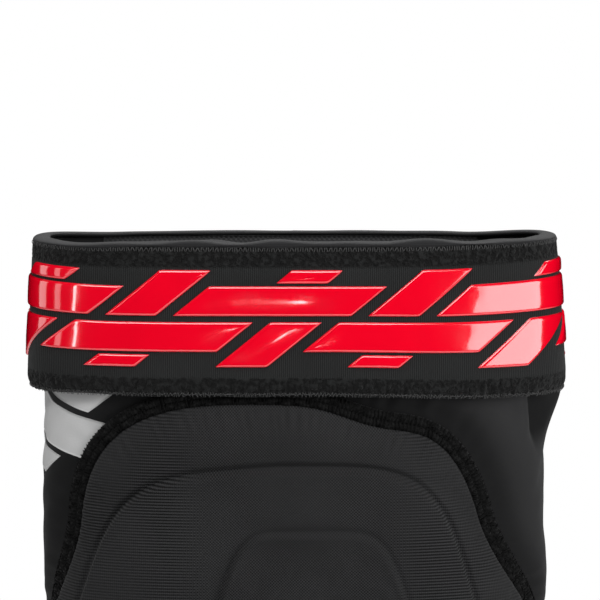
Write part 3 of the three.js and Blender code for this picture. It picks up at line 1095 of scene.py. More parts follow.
@dataclass
class Cuff(Assembly):
    """The elastic turned down over the top of the sleeve, with its edges and its join."""

    low: float = 410 * MM
    high: float = 458 * MM
    inner: float = 3.4 * MM
    thickness: float = 1.6 * MM
    flare: float = 1.5 * MM
    pucker: float = 0.3 * MM
    pucker_pitch: float = 2.1 * MM
    edge: float = 4.9 * MM
    stations: int = 1100
    rows: int = 44
    outer_side: Span = Span(45, 94, 102, 132)
    inner_side: Span = Span(60, 94, 102, 132)
    outer_low: Span = Span(10, 70, 130, 175)
    flank: Span = Span(60, 100, 120, 150)
    outer_rise: float = 2.0 * MM
    inner_rise: float = 1.5 * MM
    outer_sink: float = 1.7 * MM
    corner_at: float = 84 * MM
    corner_width: float = 17 * MM
    corner_height: float = 1.7 * MM
    slow_pitch: float = 62 * MM
    slow_height: float = 0.3 * MM
    low_tuck: float = 1.7 * MM
    high_tuck: float = 0.7 * MM
    strip_dip: float = 0.35 * MM
    wave_pitch: float = 45 * MM
    wave_height: float = 0.35 * MM
    lip_rise: float = 0.4 * MM
    binding_gap: float = 0.3 * MM

    def face(self, z: Any) -> Any:
        """The offset of the elastic's outer face at a height."""
        return self.inner + self.thickness + self.flare * (self.high - z) / (self.high - self.low)

    def _edge_share(self, z: Array) -> Array:
        """Marks the gathered strips along both edges.

        Args:
            z: the height.

        Returns:
            1 in the strips, 0 between them.
        """
        top = smooth(self.high - self.edge - 1.5 * MM, self.high - self.edge + 0.5 * MM, z)
        bottom = smooth(self.low + self.edge + 1.5 * MM, self.low + self.edge - 0.5 * MM, z)
        return np.maximum(top, bottom)

    def lift(self, distance: Array, z: Array) -> Array:
        """Raises and sinks the band's edges at its sides.

        Args:
            distance: how far round from the front.
            z: the height on a level band.

        Returns:
            The height on the worn one.
        """
        up = (z - self.low) / (self.high - self.low)
        aside = np.abs(distance)
        crest = 0.4 + 1.4 * fade(95, 50, aside) + 0.4 * fade(110, 140, aside)
        crest = crest * MM * fade(450.5, 457, z)
        rise = self.outer_rise * self.outer_side.share(distance)
        rise = rise + self.inner_rise * self.inner_side.share(-distance)
        sink = self.outer_sink * self.outer_low.share(distance)
        return z + crest + rise * up - sink * (1 - up)

    def _corner(self, distance: Array, z: Array) -> Array:
        """How far the elastic stands off at the sides, more towards its lower edge.

        Args:
            distance, z: places, round from the front and up.

        Returns:
            The distance it stands off.
        """
        aside = np.abs(distance)
        drop = (self.high - z) / (self.high - self.low)
        spread = np.where(distance > 0, 3.4 * drop - 0.2, 1.7 * drop)
        fold = bell(aside, self.corner_at, self.corner_width) * self.corner_height
        return fold + self.flank.share(aside) * spread * MM

    def surface(self, distance: Array, z: Array) -> Array:
        """The elastic's outer face with its gathers, slow waves and tucked edges.

        Args:
            distance, z: places, round from the front and up.

        Returns:
            The offset from the leg.
        """
        strip = self._edge_share(z)
        sway = 0.3 * ripple(z / (4 * MM), Wave.PUCKER_SWAY)
        gather = ripple(distance / self.pucker_pitch + sway, Wave.PUCKERS)
        slow = ripple(distance / self.slow_pitch, Wave.CUFF_WAVES) * self.slow_height
        slow = slow + self._corner(distance, z)
        tuck = self.low_tuck * smooth(self.low + 5 * MM, self.low - 1 * MM, z) ** 2
        tuck = tuck + self.high_tuck * smooth(self.high - 1.8 * MM, self.high + 0.3 * MM, z) ** 2
        return self.face(z) + gather * self.pucker * strip + slow - tuck - self.strip_dip * strip

    def elastic(self) -> None:
        """The band itself: one ring with a fine outer face."""
        outer = np.linspace(self.low, self.high, self.rows)
        inner = np.linspace(self.high, self.low, 6)
        z_row = np.concatenate([outer, inner])
        share = np.linspace(0, 1, self.stations, endpoint=False)[:, None]
        z = np.ones_like(share) * z_row
        distance = (share - 0.5) * self.leg.girth(z)
        offset = np.where(np.arange(len(z_row)) < self.rows, self.surface(distance, z),
                          self.inner + (self.face(z) - self.face(self.high)))
        wave = ripple(distance / self.wave_pitch, Wave.CUFF_EDGE) * self.wave_height
        z = z + wave * smooth(self.low + 12 * MM, self.low, z)
        places = self.leg.at(distance, self.lift(distance, z), offset)
        across = np.concatenate([outer, 2 * self.high - inner, [2 * self.high - self.low]])
        around = np.linspace(0, self.leg.girth(self.high) + TAU * self.face(self.high), self.stations + 1)
        piece = Piece().ring(places, around, across).build("cuff_elastic")
        self.keep(piece, ELASTIC, "woven_elastic", "cuff_band")

    def _rolled(self, share: Array) -> tuple[Array, Array]:
        """The rim binding's cross-section, lower and thinner away from the middle.

        Args:
            share: shares of the way round.

        Returns:
            Its heights and offsets.
        """
        turn = np.linspace(0, TAU, share.shape[1], endpoint=False)
        distance = (share - 0.5) * self.leg.girth(self.high)
        corner = self._corner(distance, np.full_like(share, self.high))
        outside = self.face(self.high) - self.binding_gap + corner
        aside = np.abs(share - 0.5)
        front = smooth(0.3, 0.2, aside)
        low = smooth(0.11, 0.2, aside)
        wave = ripple(share * 11, Wave.RIM_HEIGHT) * 0.5 * MM * (0.25 + 0.75 * front)
        z = self.high + (0.7 - 0.7 * low) * MM + ((1.2 - 0.4 * low) * MM + wave) * np.sin(turn)
        lip = smooth(0.2, -1.0, np.cos(turn))
        z = z + lip * self.lip_rise * (1 + ripple(share * 17, Wave.RIM_LIP)) * front
        offset = outside / 2 + (outside / 2 + 0.1 * MM) * np.cos(turn)
        return self.lift(distance, z), offset + ripple(share * 9, Wave.RIM_OFFSET) * 0.3 * MM

    def binding(self) -> None:
        """The rolled knit over the top edge, with a loose inner lip."""
        piece = join_ring(self.leg, "rim_binding_knit", self._rolled, 360, 22)
        self.keep(piece, LIP_JERSEY, "sleeve_knit", "cuff_rim_binding")

    def serging(self) -> None:
        """The looped threads over both edges of the elastic."""
        rows = {
            "top": (self.high - 0.7 * MM, Stitch(1.5 * MM, 0.84 * MM, 0.14 * MM, 0.3 * MM, 0.25, 0.3)),
            "bottom": (self.low + 0.7 * MM, Stitch(1.9 * MM, 0.62 * MM, 0.1 * MM, 0.35 * MM, 0.6, 0.9)),
        }
        for word, (z, row) in rows.items():
            distance = np.linspace(-0.5, 0.5, 700, endpoint=False) * self.leg.girth(z)
            offset = self.surface(distance, np.full_like(distance, z))
            points = self.leg.at(distance, self.lift(distance, z), offset)
            path = (points, self.leg.outward(distance, z), True)
            self.sew(f"{word}_serging", row, EDGE_THREAD, path, f"cuff_{word}_overlock")

    def join(self) -> None:
        """The zigzag that joins the elastic's two ends at the back."""
        z = np.linspace(self.low + 6 * MM, self.high - 6 * MM, 30)
        path = self.path(0.5 * self.leg.girth(z), z, self.face(z) + 0.35 * MM)
        row = Stitch(4.4 * MM, 1.1 * MM, 0.2 * MM, 0.3 * MM, 0.5)
        self.sew("cuff_join_zigzag", row, THREAD, path, "cuff_join_seam")


@dataclass
class Grip:
    """The pattern of raised silicone bars on the cuff."""

    cuff: Cuff
    period: float = 88.2 * MM
    height: float = 0.85 * MM
    sink: float = 0.25 * MM
    slant: float = 1.23
    row: float = 10 * MM
    dash: float = 4.2 * MM
    row_gap: float = 2 * MM
    dash_gap: float = 0.9 * MM
    long: float = 59.7 * MM
    short: float = 17.4 * MM
    step: float = 5.6 * MM
    middle: float = CUFF_MIDDLE
    start: float = -42.4 * MM
    lower_shift: float = -30.1 * MM
    edge: float = 0.95 * MM
    corner: float = 0.3
    pitch: float = 1.2 * MM
    crown: float = 0.12 * MM
    outer_shift: float = 0.4 * MM
    inner_shift: float = -2.2 * MM
    numbered_from: int = 3
    samples: int = 2400

    def __post_init__(self) -> None:
        """Measures the elastic's outer face, so that lengths along it hold at the corners too."""
        leg = self.cuff.leg
        girth = leg.girth(self.middle)
        self.sleeve = np.linspace(-0.5, 0.5, self.samples + 1) * girth
        run = leg.at(self.sleeve, self.middle, self.cuff.face(self.middle))
        along = np.concatenate([[0], np.cumsum(np.linalg.norm(np.diff(run, axis=0), axis=1))])
        self.outer = along - along[self.samples // 2]

    def spec(self, node: str) -> tuple[float, float, float, float]:
        """A bar's left end, length, lowest and highest height from the middle line.

        Args:
            node: the CAD node's name, such as grip_upper_long_3.

        Returns:
            The four sizes.
        """
        _, level, shape, number = node.split("_")
        full = self.row_gap / 2 + self.row
        dash_low = full + self.dash_gap
        table = {
            "long": (0.0, self.long, self.row_gap / 2, full),
            "slash": (-self.short - self.step, self.short, self.row_gap / 2, dash_low + self.dash),
            "dash": ((self.long - self.short) / 2, self.short, dash_low, dash_low + self.dash),
        }
        left, length, low, high = table[shape]
        if level == "lower":
            left = self.lower_shift + self.long - left - length
            low, high = -high, -low
        repeat = int(number) - self.numbered_from
        return self.start + repeat * self.period + left, length, low, high

    def _spread(self, length: float) -> Array:
        """Stations along a side, close together in its rounded ends.

        Args:
            length: the side's length.

        Returns:
            Distances from its start.
        """
        ease = self.edge * (1 - np.cos(np.linspace(0, TAU / 4, 7)))
        straight = length - 2 * self.edge
        inside = np.linspace(self.edge, length - self.edge, max(3, round(straight / self.pitch)) + 1)
        return np.concatenate([ease[:-1], inside, (length - ease[:-1])[::-1]])

    def _round_off(self, a: Array, b: Array) -> tuple[Array, Array, Array]:
        """Draws the corners of a rectangular lattice in.

        Args:
            a, b: the lattice's two coordinates, from 0 to its full size.

        Returns:
            Both coordinates after that, and each point's distance from the border.
        """
        full_a, full_b = a.max(), b.max()
        near_a, near_b = np.minimum(a, full_a - a), np.minimum(b, full_b - b)
        corner = (near_a < self.edge) & (near_b < self.edge)
        in_a, in_b = self.edge - near_a, self.edge - near_b
        most, size = np.maximum(in_a, in_b), np.hypot(in_a, in_b)
        pull = np.where(corner & (size > 0), most / np.maximum(size, TINY), 1.0) ** self.corner
        near_a, near_b = (np.where(corner, self.edge - part * pull, near)
                          for part, near in ((in_a, near_a), (in_b, near_b)))
        border = np.where(corner, self.edge - most, np.minimum(near_a, near_b))
        a = np.where(a < full_a / 2, near_a, full_a - near_a)
        b = np.where(b < full_b / 2, near_b, full_b - near_b)
        return a, b, border

    def bar(self, node: str) -> bpy.types.Object:
        """One domed bar with rounded corners.

        Args:
            node: the CAD node that it stands for.

        Returns:
            The object.
        """
        left, length, low, high = self.spec(node)
        squeeze = 1 / math.hypot(1, self.slant)
        wide, tall = self._spread(length * squeeze), self._spread(high - low)
        a, b, border = self._round_off(*np.meshgrid(wide, tall, indexing="ij"))
        depth = np.clip(border / self.edge, 0, 1)
        inset = smooth(0, 6 * MM, a) * smooth(wide[-1], wide[-1] - 6 * MM, a)
        crown = self.crown * np.sin(math.pi * b / tall[-1]) * inset
        rise = self.height * np.sqrt(1 - (1 - depth) ** 2) + crown
        distance = np.interp(left + a / squeeze + self.slant * (low + b), self.outer, self.sleeve)
        drawn = np.where(distance > 0, self.outer_shift, self.inner_shift)
        distance = distance + drawn * fade(62, 92, np.abs(distance))
        z = self.middle + (low + b)
        base = self.cuff.surface(distance, z) - self.sink
        z = self.cuff.lift(distance, z)
        leg = self.cuff.leg
        uv = np.stack([a / squeeze, b], -1)
        piece = Piece().slab(leg.at(distance, z, base + self.sink + rise), leg.at(distance, z, base), uv)
        return piece.build(f"{node}_moulded")

    def make(self) -> None:
        """Every bar that the frame has."""
        for node in sorted(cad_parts):
            if node.startswith("grip_"):
                self.cuff.keep(self.bar(node), SILICONE, "silicone", node)


@dataclass
class Sleeve(Assembly):
    """The knit tube of one half of the guard, with its side seams."""

    nodes: str = "upper"
    low: float = GUSSET_HIGH
    high: float = SLEEVE_TOP
    rows: int = 170
    flare: float = 6.6 * MM
    pad: "Pad | None" = None
    loose_side: Span = Span(86, 102, 135, 175)
    flank: Span = Span(64, 94, 115, 150)
    swell: Span = Span(0.5, 10, 14, 26)
    puckers: Span = Span(-0.5, 2, 2, 14)
    gap: float = 0.00005
    swell_height: float = 1.7 * MM
    flank_height: float = 1.7 * MM
    pucker_height: float = 0.3 * MM
    soft_height: float = 0.5 * MM
    crease_depth: float = 3.2 * MM
    taut_edge: float = 85 * MM
    # How strongly painted shade darkens the knit beside the pad's seam and inside the fold, and on the
    # inner side.
    painted_shade_strength: float = 0.97
    inner_side_shade_strength: float = 0.9

    def _hollow(self, distance: Array, z: Array) -> Array:
        """How far a place lies outside the pad's seam."""
        return self.pad.margin(distance, z) - self.pad.seam_width

    def slack(self, distance: Array, z: Array) -> Array:
        """Where the cloth hangs loose under the cuff on the outer side, from 0 to 1."""
        return fade(386, 410, z) * self.loose_side.share(distance)

    def beyond(self, distance: Array, z: Array) -> Array:
        """How far behind the edge of the taut front a place on the outer side lies."""
        return distance - (self.taut_edge - 0.12 * (z - 385 * MM))

    def crease(self, distance: Array, z: Array) -> Array:
        """The deep fold between the taut front and the loose cloth, less the ridge before it.

        Args:
            distance, z: places, round from the front and up.

        Returns:
            The fold's depth as a share of the deepest.
        """
        past = self.beyond(distance, z)
        fold = bell(past, 1.5 * MM, 3.4 * MM) - 0.45 * bell(past, -5 * MM, 3.2 * MM)
        return fold * fade(384, 400, z)

    def drape(self, distance: Array, z: Array) -> Array:
        """How far the knit stands off the leg: soft folds, and slack below the cuff.

        Args:
            distance, z: places, round from the front and up.

        Returns:
            The distance from the knit's taut place.
        """
        away = self._hollow(distance, z)
        soft = ripple(distance / (26 * MM) + z / (90 * MM), Wave.FOLDS)
        soft = soft * ripple(z / (70 * MM), Wave.FOLD_HEIGHTS) * self.soft_height * fade(0, 12, away)
        swell = self.swell_height * self.swell.share(away)
        angle = np.arctan2(z - 0.33, distance) / 0.085
        puckers = ripple(angle, Wave.SEAM_PUCKERS) * self.pucker_height * self.puckers.share(away)
        if self.nodes != "upper":
            return soft + (swell + puckers) * 0.5
        aside = np.abs(distance)
        flank = self.flank_height * self.flank.share(aside) * fade(290, 345, z)
        under = fade(404, 412, z)
        creases = ripple((distance - z * 0.9) / (13 * MM), Wave.CREASES) * 0.4 * MM
        near = fade(330, 400, z) * fade(60, 90, aside) * (1 - under)
        fold = self.slack(distance, z) * self.flare - self.crease(distance, z) * self.crease_depth
        fold = fold * fade(414, 409.5, z)
        return soft + (swell * (1 - under) + puckers) + flank + fold + creases * near

    def stretch_and_shade(self, distance: Array, z: Array) -> Array:
        """How light the knit is drawn, from 0 to 1: random tone with painted shade next to the pad's seam,
        on the inner side and inside the fold under the cuff.

        Args:
            distance, z: places, round from the front and up.

        Returns:
            Its lightness at each place, from 0 to 1.
        """
        # Painted shade: darker within about 19 mm outside the pad's seam, and on the inner side from about
        # 60 mm round the front, below about 394 mm.
        clear_of_seam_shade = fade(2, 19, self._hollow(distance, z))
        taut = 0.62 + 0.3 * ripple(distance / (40 * MM) + z / (60 * MM), Wave.STRETCH)
        inner_side_shade = fade(-60, -72, distance) * fade(394, 380, z)
        pulled = taut * (1 - self.painted_shade_strength * (1 - clear_of_seam_shade)) * (1 - self.inner_side_shade_strength * inner_side_shade)
        # Painted shade inside the fold on the upper sleeve: darker just past the taut front's edge on the
        # outer side, above about 386 mm.
        if self.nodes == "upper":
            past = self.beyond(distance, z)
            behind = fade(-1, 1.5, past) * fade(386, 394, z - 0.4 * past)
            pulled = pulled * (1 - self.painted_shade_strength * behind * fade(70, 45, past))
        return np.clip(pulled, 0, 1)

    def panel(self, name: str, start: float, end: float, columns: int, finish: ClothFinish,
              slot: str, node: str) -> None:
        """One panel between two shares of the way round.

        Args:
            name: the piece's name.
            start, end: the shares of its side edges.
            columns: how finely it is divided round the leg.
            finish: its cloth.
            slot: a material slot name, passed on to keep.
            node: the CAD node that it stands for.
        """
        share = np.linspace(start, end, columns + 1)[:, None]
        z = np.linspace(self.low, self.high, self.rows + 1) * np.ones_like(share)
        girth = self.leg.girth(z)
        distance = share * girth
        wrapped = (distance + 0.5 * girth) % girth - 0.5 * girth
        drape = self.drape(wrapped, z)
        piece = self.layer(name, distance, z, KNIT + drape, 0.2 * MM + drape)
        # The attribute holds random tone and painted shade, which the jersey's colour reads.
        pulled = np.tile(self.stretch_and_shade(wrapped, z).ravel(), 2)
        piece.data.attributes.new("stretch_and_shade", "FLOAT", "POINT").data.foreach_set("value", pulled)
        self.keep(piece, finish, slot, node)
        width = (end - start) * self.leg.girth((self.low + self.high) / 2)

    def make(self) -> None:
        """Both panels and the seams between them."""
        word = self.nodes
        front, back = SIDE_SEAM_SHARE - self.gap, SIDE_SEAM_SHARE + self.gap
        self.panel(f"{word}_front_knit", -front, front, 230, JERSEY, "sleeve_knit", f"{word}_front_panel")
        self.panel(f"{word}_back_mesh", back, 1 - front, 130, MESH_KNIT, "mesh_knit", f"{word}_back_panel")
        top = 406 * MM if word == "upper" else self.high - 6 * MM
        bottom = self.low + 6 * MM if word == "upper" else ANKLE_TOP + 2 * MM
        z = np.linspace(bottom, top, 80)
        row = Stitch(4.2 * MM, 1.35 * MM, 0.21 * MM, 0.35 * MM, 0.42)
        for side, share in (("inner", -SIDE_SEAM_SHARE), ("outer", SIDE_SEAM_SHARE)):
            distance = share * self.leg.girth(z)
            path = self.path(distance, z, KNIT + self.drape(distance, z) + 0.15 * MM)
            self.sew(f"{word}_{side}_flatlock", row, THREAD, path, f"{word}_{side}_seam")


@dataclass(frozen=True)
class Step:
    """A raised layer under a pad's cover: a rounded block with its own outline."""

    centre: float
    half: float
    up: float
    down: float
    square: float
    height: float
    lean: float = 0.0
    tilt: float = 0.0
    soft: float = 0.95 * MM
    groove: float = 1.15 * MM

    def rise(self, across: Array, upward: Array) -> Array:
        """How much it lifts the cover, with the crease at its foot.

        Args:
            across, upward: places from the pad's middle.

        Returns:
            The lift at each place.
        """
        upward = upward + self.tilt * np.maximum(self.centre - across, 0) * smooth(0, self.up, upward)
        reach = np.where(upward > 0, self.up, self.down)
        half = self.half * (1 - self.lean * upward / reach)
        size = superellipse((across - self.centre) / half, upward / reach, self.square)
        away = (size - 1) * np.hypot(across - self.centre, upward)
        foot = bell(away, 1.6 * self.soft, 0.8 * MM)
        return self.height * smooth(self.soft, -self.soft, away) - self.groove * foot


@dataclass(frozen=True)
class Layer:
    """A moulded layer inside a pad: the share of the outline it fills, its two offsets and its finish."""

    node: str
    size: float
    low: float
    high: float
    finish: MouldedFinish


@dataclass
class Pad(Assembly):
    """A padded panel: its cover drawn over stepped foam, and the seam round it."""

    part: str = "knee"
    centre: float = 330 * MM
    half: float = 90 * MM
    up: float = 76 * MM
    down: float = 62 * MM
    square: float = 3.4
    taper: float = 0.24
    lean: float = 0.0
    dip: float = 0.0
    dome: float = 9.0 * MM
    steps: tuple[Step, ...] = ()
    layers: tuple[Layer, ...] = ()
    seam_width: float = 5.4 * MM
    cells: int = 190
    floor: float = 2.6 * MM
    cap: float = 1.0 * MM
    thickness: float = 1.0 * MM
    cloth_frames: int = 14
    held_from: float = 0.985
    dip_at: float = 34 * MM
    dip_width: float = 17 * MM
    gather_turn: float = 0.045
    gather_height: float = 0.3 * MM
    seam_count: int = 640

    def _narrow(self, rise: Array) -> Array:
        """The outline's width at a share of its reach, as a share of its full width."""
        return 1 - self.taper * (smooth(-0.25, 0.5, rise) + smooth(0.2, 0.8, -rise))

    def _leaning(self, rise: Array) -> Array:
        """How far the outline leans inwards at a share of its reach."""
        return self.lean * smooth(-0.3, 0.9, rise)

    def _dipped(self, across: Array, rise: Array) -> Array:
        """How far the outline dips at the outer part of its upper edge."""
        return self.dip * bell(across, self.dip_at, self.dip_width) * smooth(0.5, 0.95, rise)

    def _place(self, across: Array, rise: Array) -> tuple[Array, Array]:
        """Moves a place of the even outline to where the sewn pad has it.

        Args:
            across: the distance from the pad's middle.
            rise: the height as a share of the pad's reach.

        Returns:
            The distance round the leg and the height.
        """
        reach = np.where(rise > 0, self.up, self.down)
        return across - self._leaning(rise), self.centre + reach * rise - self._dipped(across, rise)

    def margin(self, distance: Array, z: Array) -> Array:
        """How far places lie outside the sewn edge.

        Args:
            distance, z: places, round from the front and up.

        Returns:
            The distance from the edge, negative inside it.
        """
        up = z - self.centre
        reach = np.where(up > 0, self.up, self.down)
        across = distance + self._leaning(up / reach)
        rise = (up + self._dipped(across, up / reach)) / reach
        size = superellipse(across / self.half / self._narrow(rise), rise, self.square)
        return (1 - 1 / np.maximum(size, 0.05)) * np.hypot(distance, up)

    def outline(self, a: Array, b: Array) -> tuple[Array, Array, Array]:
        """Maps a square of -1..1 onto the pad.

        Args:
            a, b: the two coordinates of the square.

        Returns:
            The distance round the leg, the height, and the share of the way to the sewn edge.
        """
        most = np.maximum(np.abs(a), np.abs(b))
        size = np.maximum(superellipse(a, b, self.square), TINY)
        across, rise = a / size, b / size
        return *self._place(self.half * across * self._narrow(rise) * most, rise * most), most

    def height(self, distance: Array, z: Array, share: Array) -> Array:
        """The offset of the cover's outer face.

        Args:
            distance, z: places on the leg.
            share: the share of the way to the sewn edge at each.

        Returns:
            The offset at each.
        """
        rise = self.dome * np.sqrt(np.clip(1 - share**5, 0, 1))
        for step in self.steps:
            rise = rise + step.rise(distance, z - self.centre)
        angle = np.arctan2((z - self.centre) / self.up, distance / self.half)
        gathers = ripple(angle / self.gather_turn, Wave.PAD_GATHERS) * self.gather_height
        return self.floor + rise + gathers * smooth(0.86, 0.97, share) * smooth(1.0, self.held_from, share)

    def settle(self, points: Array, outward: Array, share: Array) -> Array:
        """Lets the cover find its own shape as cloth, held at its sewn edge.

        Args:
            points: the lattice of the cover's outer face.
            outward: the direction away from the leg at each point.
            share: the share of the way to the sewn edge at each point.

        Returns:
            The lattice after the simulation, with each move capped.
        """
        sheet = Piece().lattice(points).build(f"{self.part}_cloth")
        held = sheet.vertex_groups.new(name="held")
        held.add(np.flatnonzero(share.ravel() > self.held_from).tolist(), 1.0, "REPLACE")
        modifier = sheet.modifiers.new("cloth", "CLOTH")
        settings = modifier.settings
        settings.vertex_group_mass = "held"
        settings.quality = 6
        settings.mass = 0.15
        settings.tension_stiffness = settings.compression_stiffness = 12
        settings.bending_stiffness = 0.02
        settings.shrink_min = -0.035
        settings.effector_weights.gravity = 0
        settings.use_pressure = True
        settings.uniform_pressure_force = 0.4
        modifier.collision_settings.use_collision = False
        scene = bpy.context.scene
        for number in range(1, self.cloth_frames + 1):
            scene.frame_set(number)
        baked = bpy.data.meshes.new_from_object(sheet.evaluated_get(bpy.context.evaluated_depsgraph_get()))
        moved = np.empty(len(baked.vertices) * 3, np.float32)
        baked.vertices.foreach_get("co", moved)
        bpy.data.objects.remove(sheet)
        scene.frame_set(1)
        out = ((moved.reshape(points.shape) - points) * outward).sum(-1, keepdims=True)
        LOG.info("%s cover settled by %.2f mm at most", self.part, float(np.abs(out).max()) / MM)
        return points + outward * self.cap * np.tanh(out / self.cap)

    def cover(self) -> None:
        """The knit over the foam, as one closed cushion skin."""
        line = np.linspace(-1, 1, self.cells + 1)
        distance, z, share = self.outline(*np.meshgrid(line, line, indexing="ij"))
        outward = self.leg.outward(distance, z)
        top = self.leg.at(distance, z, self.height(distance, z, share))
        top = self.settle(top, outward, share)
        uv = np.stack([distance, z], -1)
        piece = Piece().slab(top, top - outward * self.thickness, uv).build(f"{self.part}_cover_knit")
        self.keep(piece, PAD_KNIT, "ribbed_cover", f"{self.part}_cover")

    def rim(self, out: float) -> tuple[Array, Array]:
        """The sewn edge, moved outwards.

        Args:
            out: by how far.

        Returns:
            Distances round the leg and heights, evenly spaced along the edge.
        """
        angle = np.linspace(0, TAU, 4 * self.seam_count, endpoint=False)
        across, rise = (np.sign(wave) * np.abs(wave) ** (2 / self.square)
                        for wave in (np.cos(angle), np.sin(angle)))
        x, y = self._place(self.half * across * self._narrow(rise), rise)
        run = np.concatenate([[0], np.cumsum(np.hypot(np.diff(x, append=x[0]), np.diff(y, append=y[0])))])
        even = np.linspace(0, run[-1], self.seam_count, endpoint=False)
        x, y = (np.interp(even, run, np.append(part, part[0])) for part in (x, y))
        tx, ty = np.roll(x, -2) - np.roll(x, 2), np.roll(y, -2) - np.roll(y, 2)
        size = np.hypot(tx, ty)
        return x + ty / size * out, y - tx / size * out

    def seam(self) -> None:
        """A raised tape round the cover with close stitches across it."""
        steps = 15
        shares = np.linspace(0, 1, steps)
        rims = [self.rim(share * (self.seam_width + 0.8 * MM) - 0.6 * MM) for share in shares]
        points = []
        for share, (distance, z) in zip(shares, rims):
            lobes = abs(math.sin(TAU * share)) ** 0.6 + math.sin(math.pi * share) ** 0.5 * 0.35
            uneven = 1 + 0.4 * ripple(np.arange(self.seam_count) / 7.0, Wave.SEAM_TAPE + round(share * 2))
            points.append(self.leg.at(distance, z, KNIT + 0.5 * MM + lobes * uneven * MM))
        points += [self.leg.at(distance, z, KNIT + 0.2 * MM) for distance, z in rims[::-1]]
        along = np.linspace(0, 0.5, self.seam_count + 1)
        across = np.linspace(0, 2 * self.seam_width, 2 * steps + 1)
        tape = Piece().ring(np.array(points).transpose(1, 0, 2), along, across)
        self.keep(tape.build(f"{self.part}_seam_tape"), SEAM_TAPE, "seam_thread", f"{self.part}_cover_seam")
        quarter = self.seam_width / 4 + 0.15 * MM
        bars = Stitch(2.7 * MM, 1.3 * MM, 0.26 * MM, 0.5 * MM, 0.16, 0.38)
        chain = Stitch(0.9 * MM, 1.25 * MM, 0.17 * MM, 0.3 * MM, 0.7, seed=7)
        for word, quarters, row, lift, finish in (
            ("inner_bars", 1, bars, 1.35 * MM, SEAM_THREAD),
            ("outer_bars", 3, replace(bars, seed=5), 1.35 * MM, SEAM_THREAD),
            ("chain", 2, chain, 0.6 * MM, THREAD),
        ):
            distance, z = self.rim(quarters * quarter - 0.2 * MM)
            path = self.path(distance, z, KNIT + lift, closed=True)
            self.sew(f"{self.part}_seam_{word}", row, finish, path)

    def fill(self, layer: Layer) -> None:
        """Moulds one of the layers inside, with a rounded upper edge.

        Args:
            layer: which one.
        """
        line = np.linspace(-1, 1, 61)
        a, b = np.meshgrid(line, line, indexing="ij")
        distance, z, _ = self.outline(a * layer.size, b * layer.size)
        edge = np.sqrt(1 - np.maximum(np.abs(a), np.abs(b)) ** 8)
        side = 0.8 * MM
        top = layer.low + side + (layer.high - layer.low - side) * edge
        piece = self.layer(f"{layer.node}_moulded", distance, z, top, layer.low)
        self.keep(piece, layer.finish, "foam" if layer.finish is FOAM else "moulded_plate", layer.node)

    def make(self) -> None:
        """The layers inside, the cover and its seam."""
        for layer in self.layers:
            self.fill(layer)
        self.cover()
        self.seam()


@dataclass(frozen=True)
class Bar:
    """A bar of film in millimetres: its two ends, low edge at the anchor, height, and cut."""

    start: float
    end: float
    low: float
    height: float
    cut: float


@dataclass
class SidePrint(Assembly):
    """Slanted bars of film on the inner side of the sleeve."""

    sleeve: Sleeve | None = None
    slope: float = -0.55
    anchor: float = -87 * MM
    bend: float = 28 * MM
    lift: float = 0.22 * MM
    sink: float = 0.05 * MM
    start_cut: float = 0.65
    bars: tuple[Bar, ...] = (
        Bar(-118, -63.5, 410.6, 12, 1.9),
        Bar(-113, -63, 393.6, 14.8, 2.44),
        Bar(-118, -83, 381.2, 10.2, 1.5),
        Bar(-118, -94, 373.8, 5.5, 0.65),
    )

    def make(self) -> None:
        """Every bar, each following the sleeve's folds."""
        u, v = np.meshgrid(np.linspace(0, 1, 60), np.linspace(0, 1, 16), indexing="ij")
        for number, bar in enumerate(self.bars, 1):
            across = (v - 0.5) * bar.height * MM
            start = bar.start * MM + self.start_cut * across
            end = bar.end * MM + bar.cut * across * 0.5
            distance = start + (end - start) * u
            past = distance - self.anchor
            eased = np.where(past > 0, self.bend * (1 - np.exp(-np.maximum(past, 0) / self.bend)), past)
            z = bar.low * MM + v * bar.height * MM + self.slope * eased
            base = KNIT + self.sleeve.drape(distance, z)
            piece = self.layer(f"side_film_{number}", distance, z, base + self.lift, base - self.sink)
            self.keep(piece, FILM, "reflective_print", f"side_print_{number}")


@dataclass
class Gusset(Assembly):
    """The ribbed tube between the two halves, and the seams that hold it."""

    ribs: int = 150
    folds: int = 4
    rows: int = 56
    rib_points: int = 8
    inner_every: int = 5
    gap: float = 0.3 * MM
    fold_depth: float = 1.6 * MM
    rib_height: float = 1.0 * MM
    seam_away: float = 1.9 * MM

    def make(self) -> None:
        """The tube and both seams."""
        low, high = GUSSET_LOW + self.gap, GUSSET_HIGH - self.gap
        outer = np.linspace(low, high, self.rows)
        inner = outer[::-1][::self.inner_every]
        stations = self.ribs * self.rib_points
        share = np.linspace(0, 1, stations, endpoint=False)[:, None]
        z = np.concatenate([outer, inner]) * np.ones_like(share)
        fold = 0.5 - 0.5 * np.cos(TAU * self.folds * (z - low) / (high - low))
        ends = smooth(low, low + 4 * MM, z) * smooth(high, high - 4 * MM, z)
        rib = 0.5 + 0.5 * np.cos(TAU * self.ribs * share)
        outside = np.arange(z.shape[1]) < self.rows
        cloth = np.where(outside, KNIT * 0.6 + self.rib_height * rib**0.7 * ends, 0.0)
        places = self.leg.at((share - 0.5) * self.leg.girth(z), z, self.fold_depth * fold + cloth)
        around = np.linspace(0, self.leg.girth((GUSSET_LOW + GUSSET_HIGH) / 2), stations + 1)
        across = np.concatenate([outer, 2 * high - inner, [2 * high - low]])
        piece = Piece().ring(places, around, across).build("gusset_rib_knit")
        self.wardrobe.dress(piece, RIB_KNIT)
        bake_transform(piece)
        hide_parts("knee_gusset")
        row = Stitch(4.0 * MM, 1.3 * MM, 0.22 * MM, 0.45 * MM, 0.4)
        seams = (
            ("upper", "thigh", GUSSET_HIGH + self.seam_away),
            ("lower", "shin", GUSSET_LOW - self.seam_away),
        )
        for word, body, z_seam in seams:
            self.body = body
            path = self.loop_path(z_seam, KNIT + 0.35 * MM)
            self.sew(f"gusset_{word}_flatlock", row, THREAD, path, f"gusset_{word}_seam")


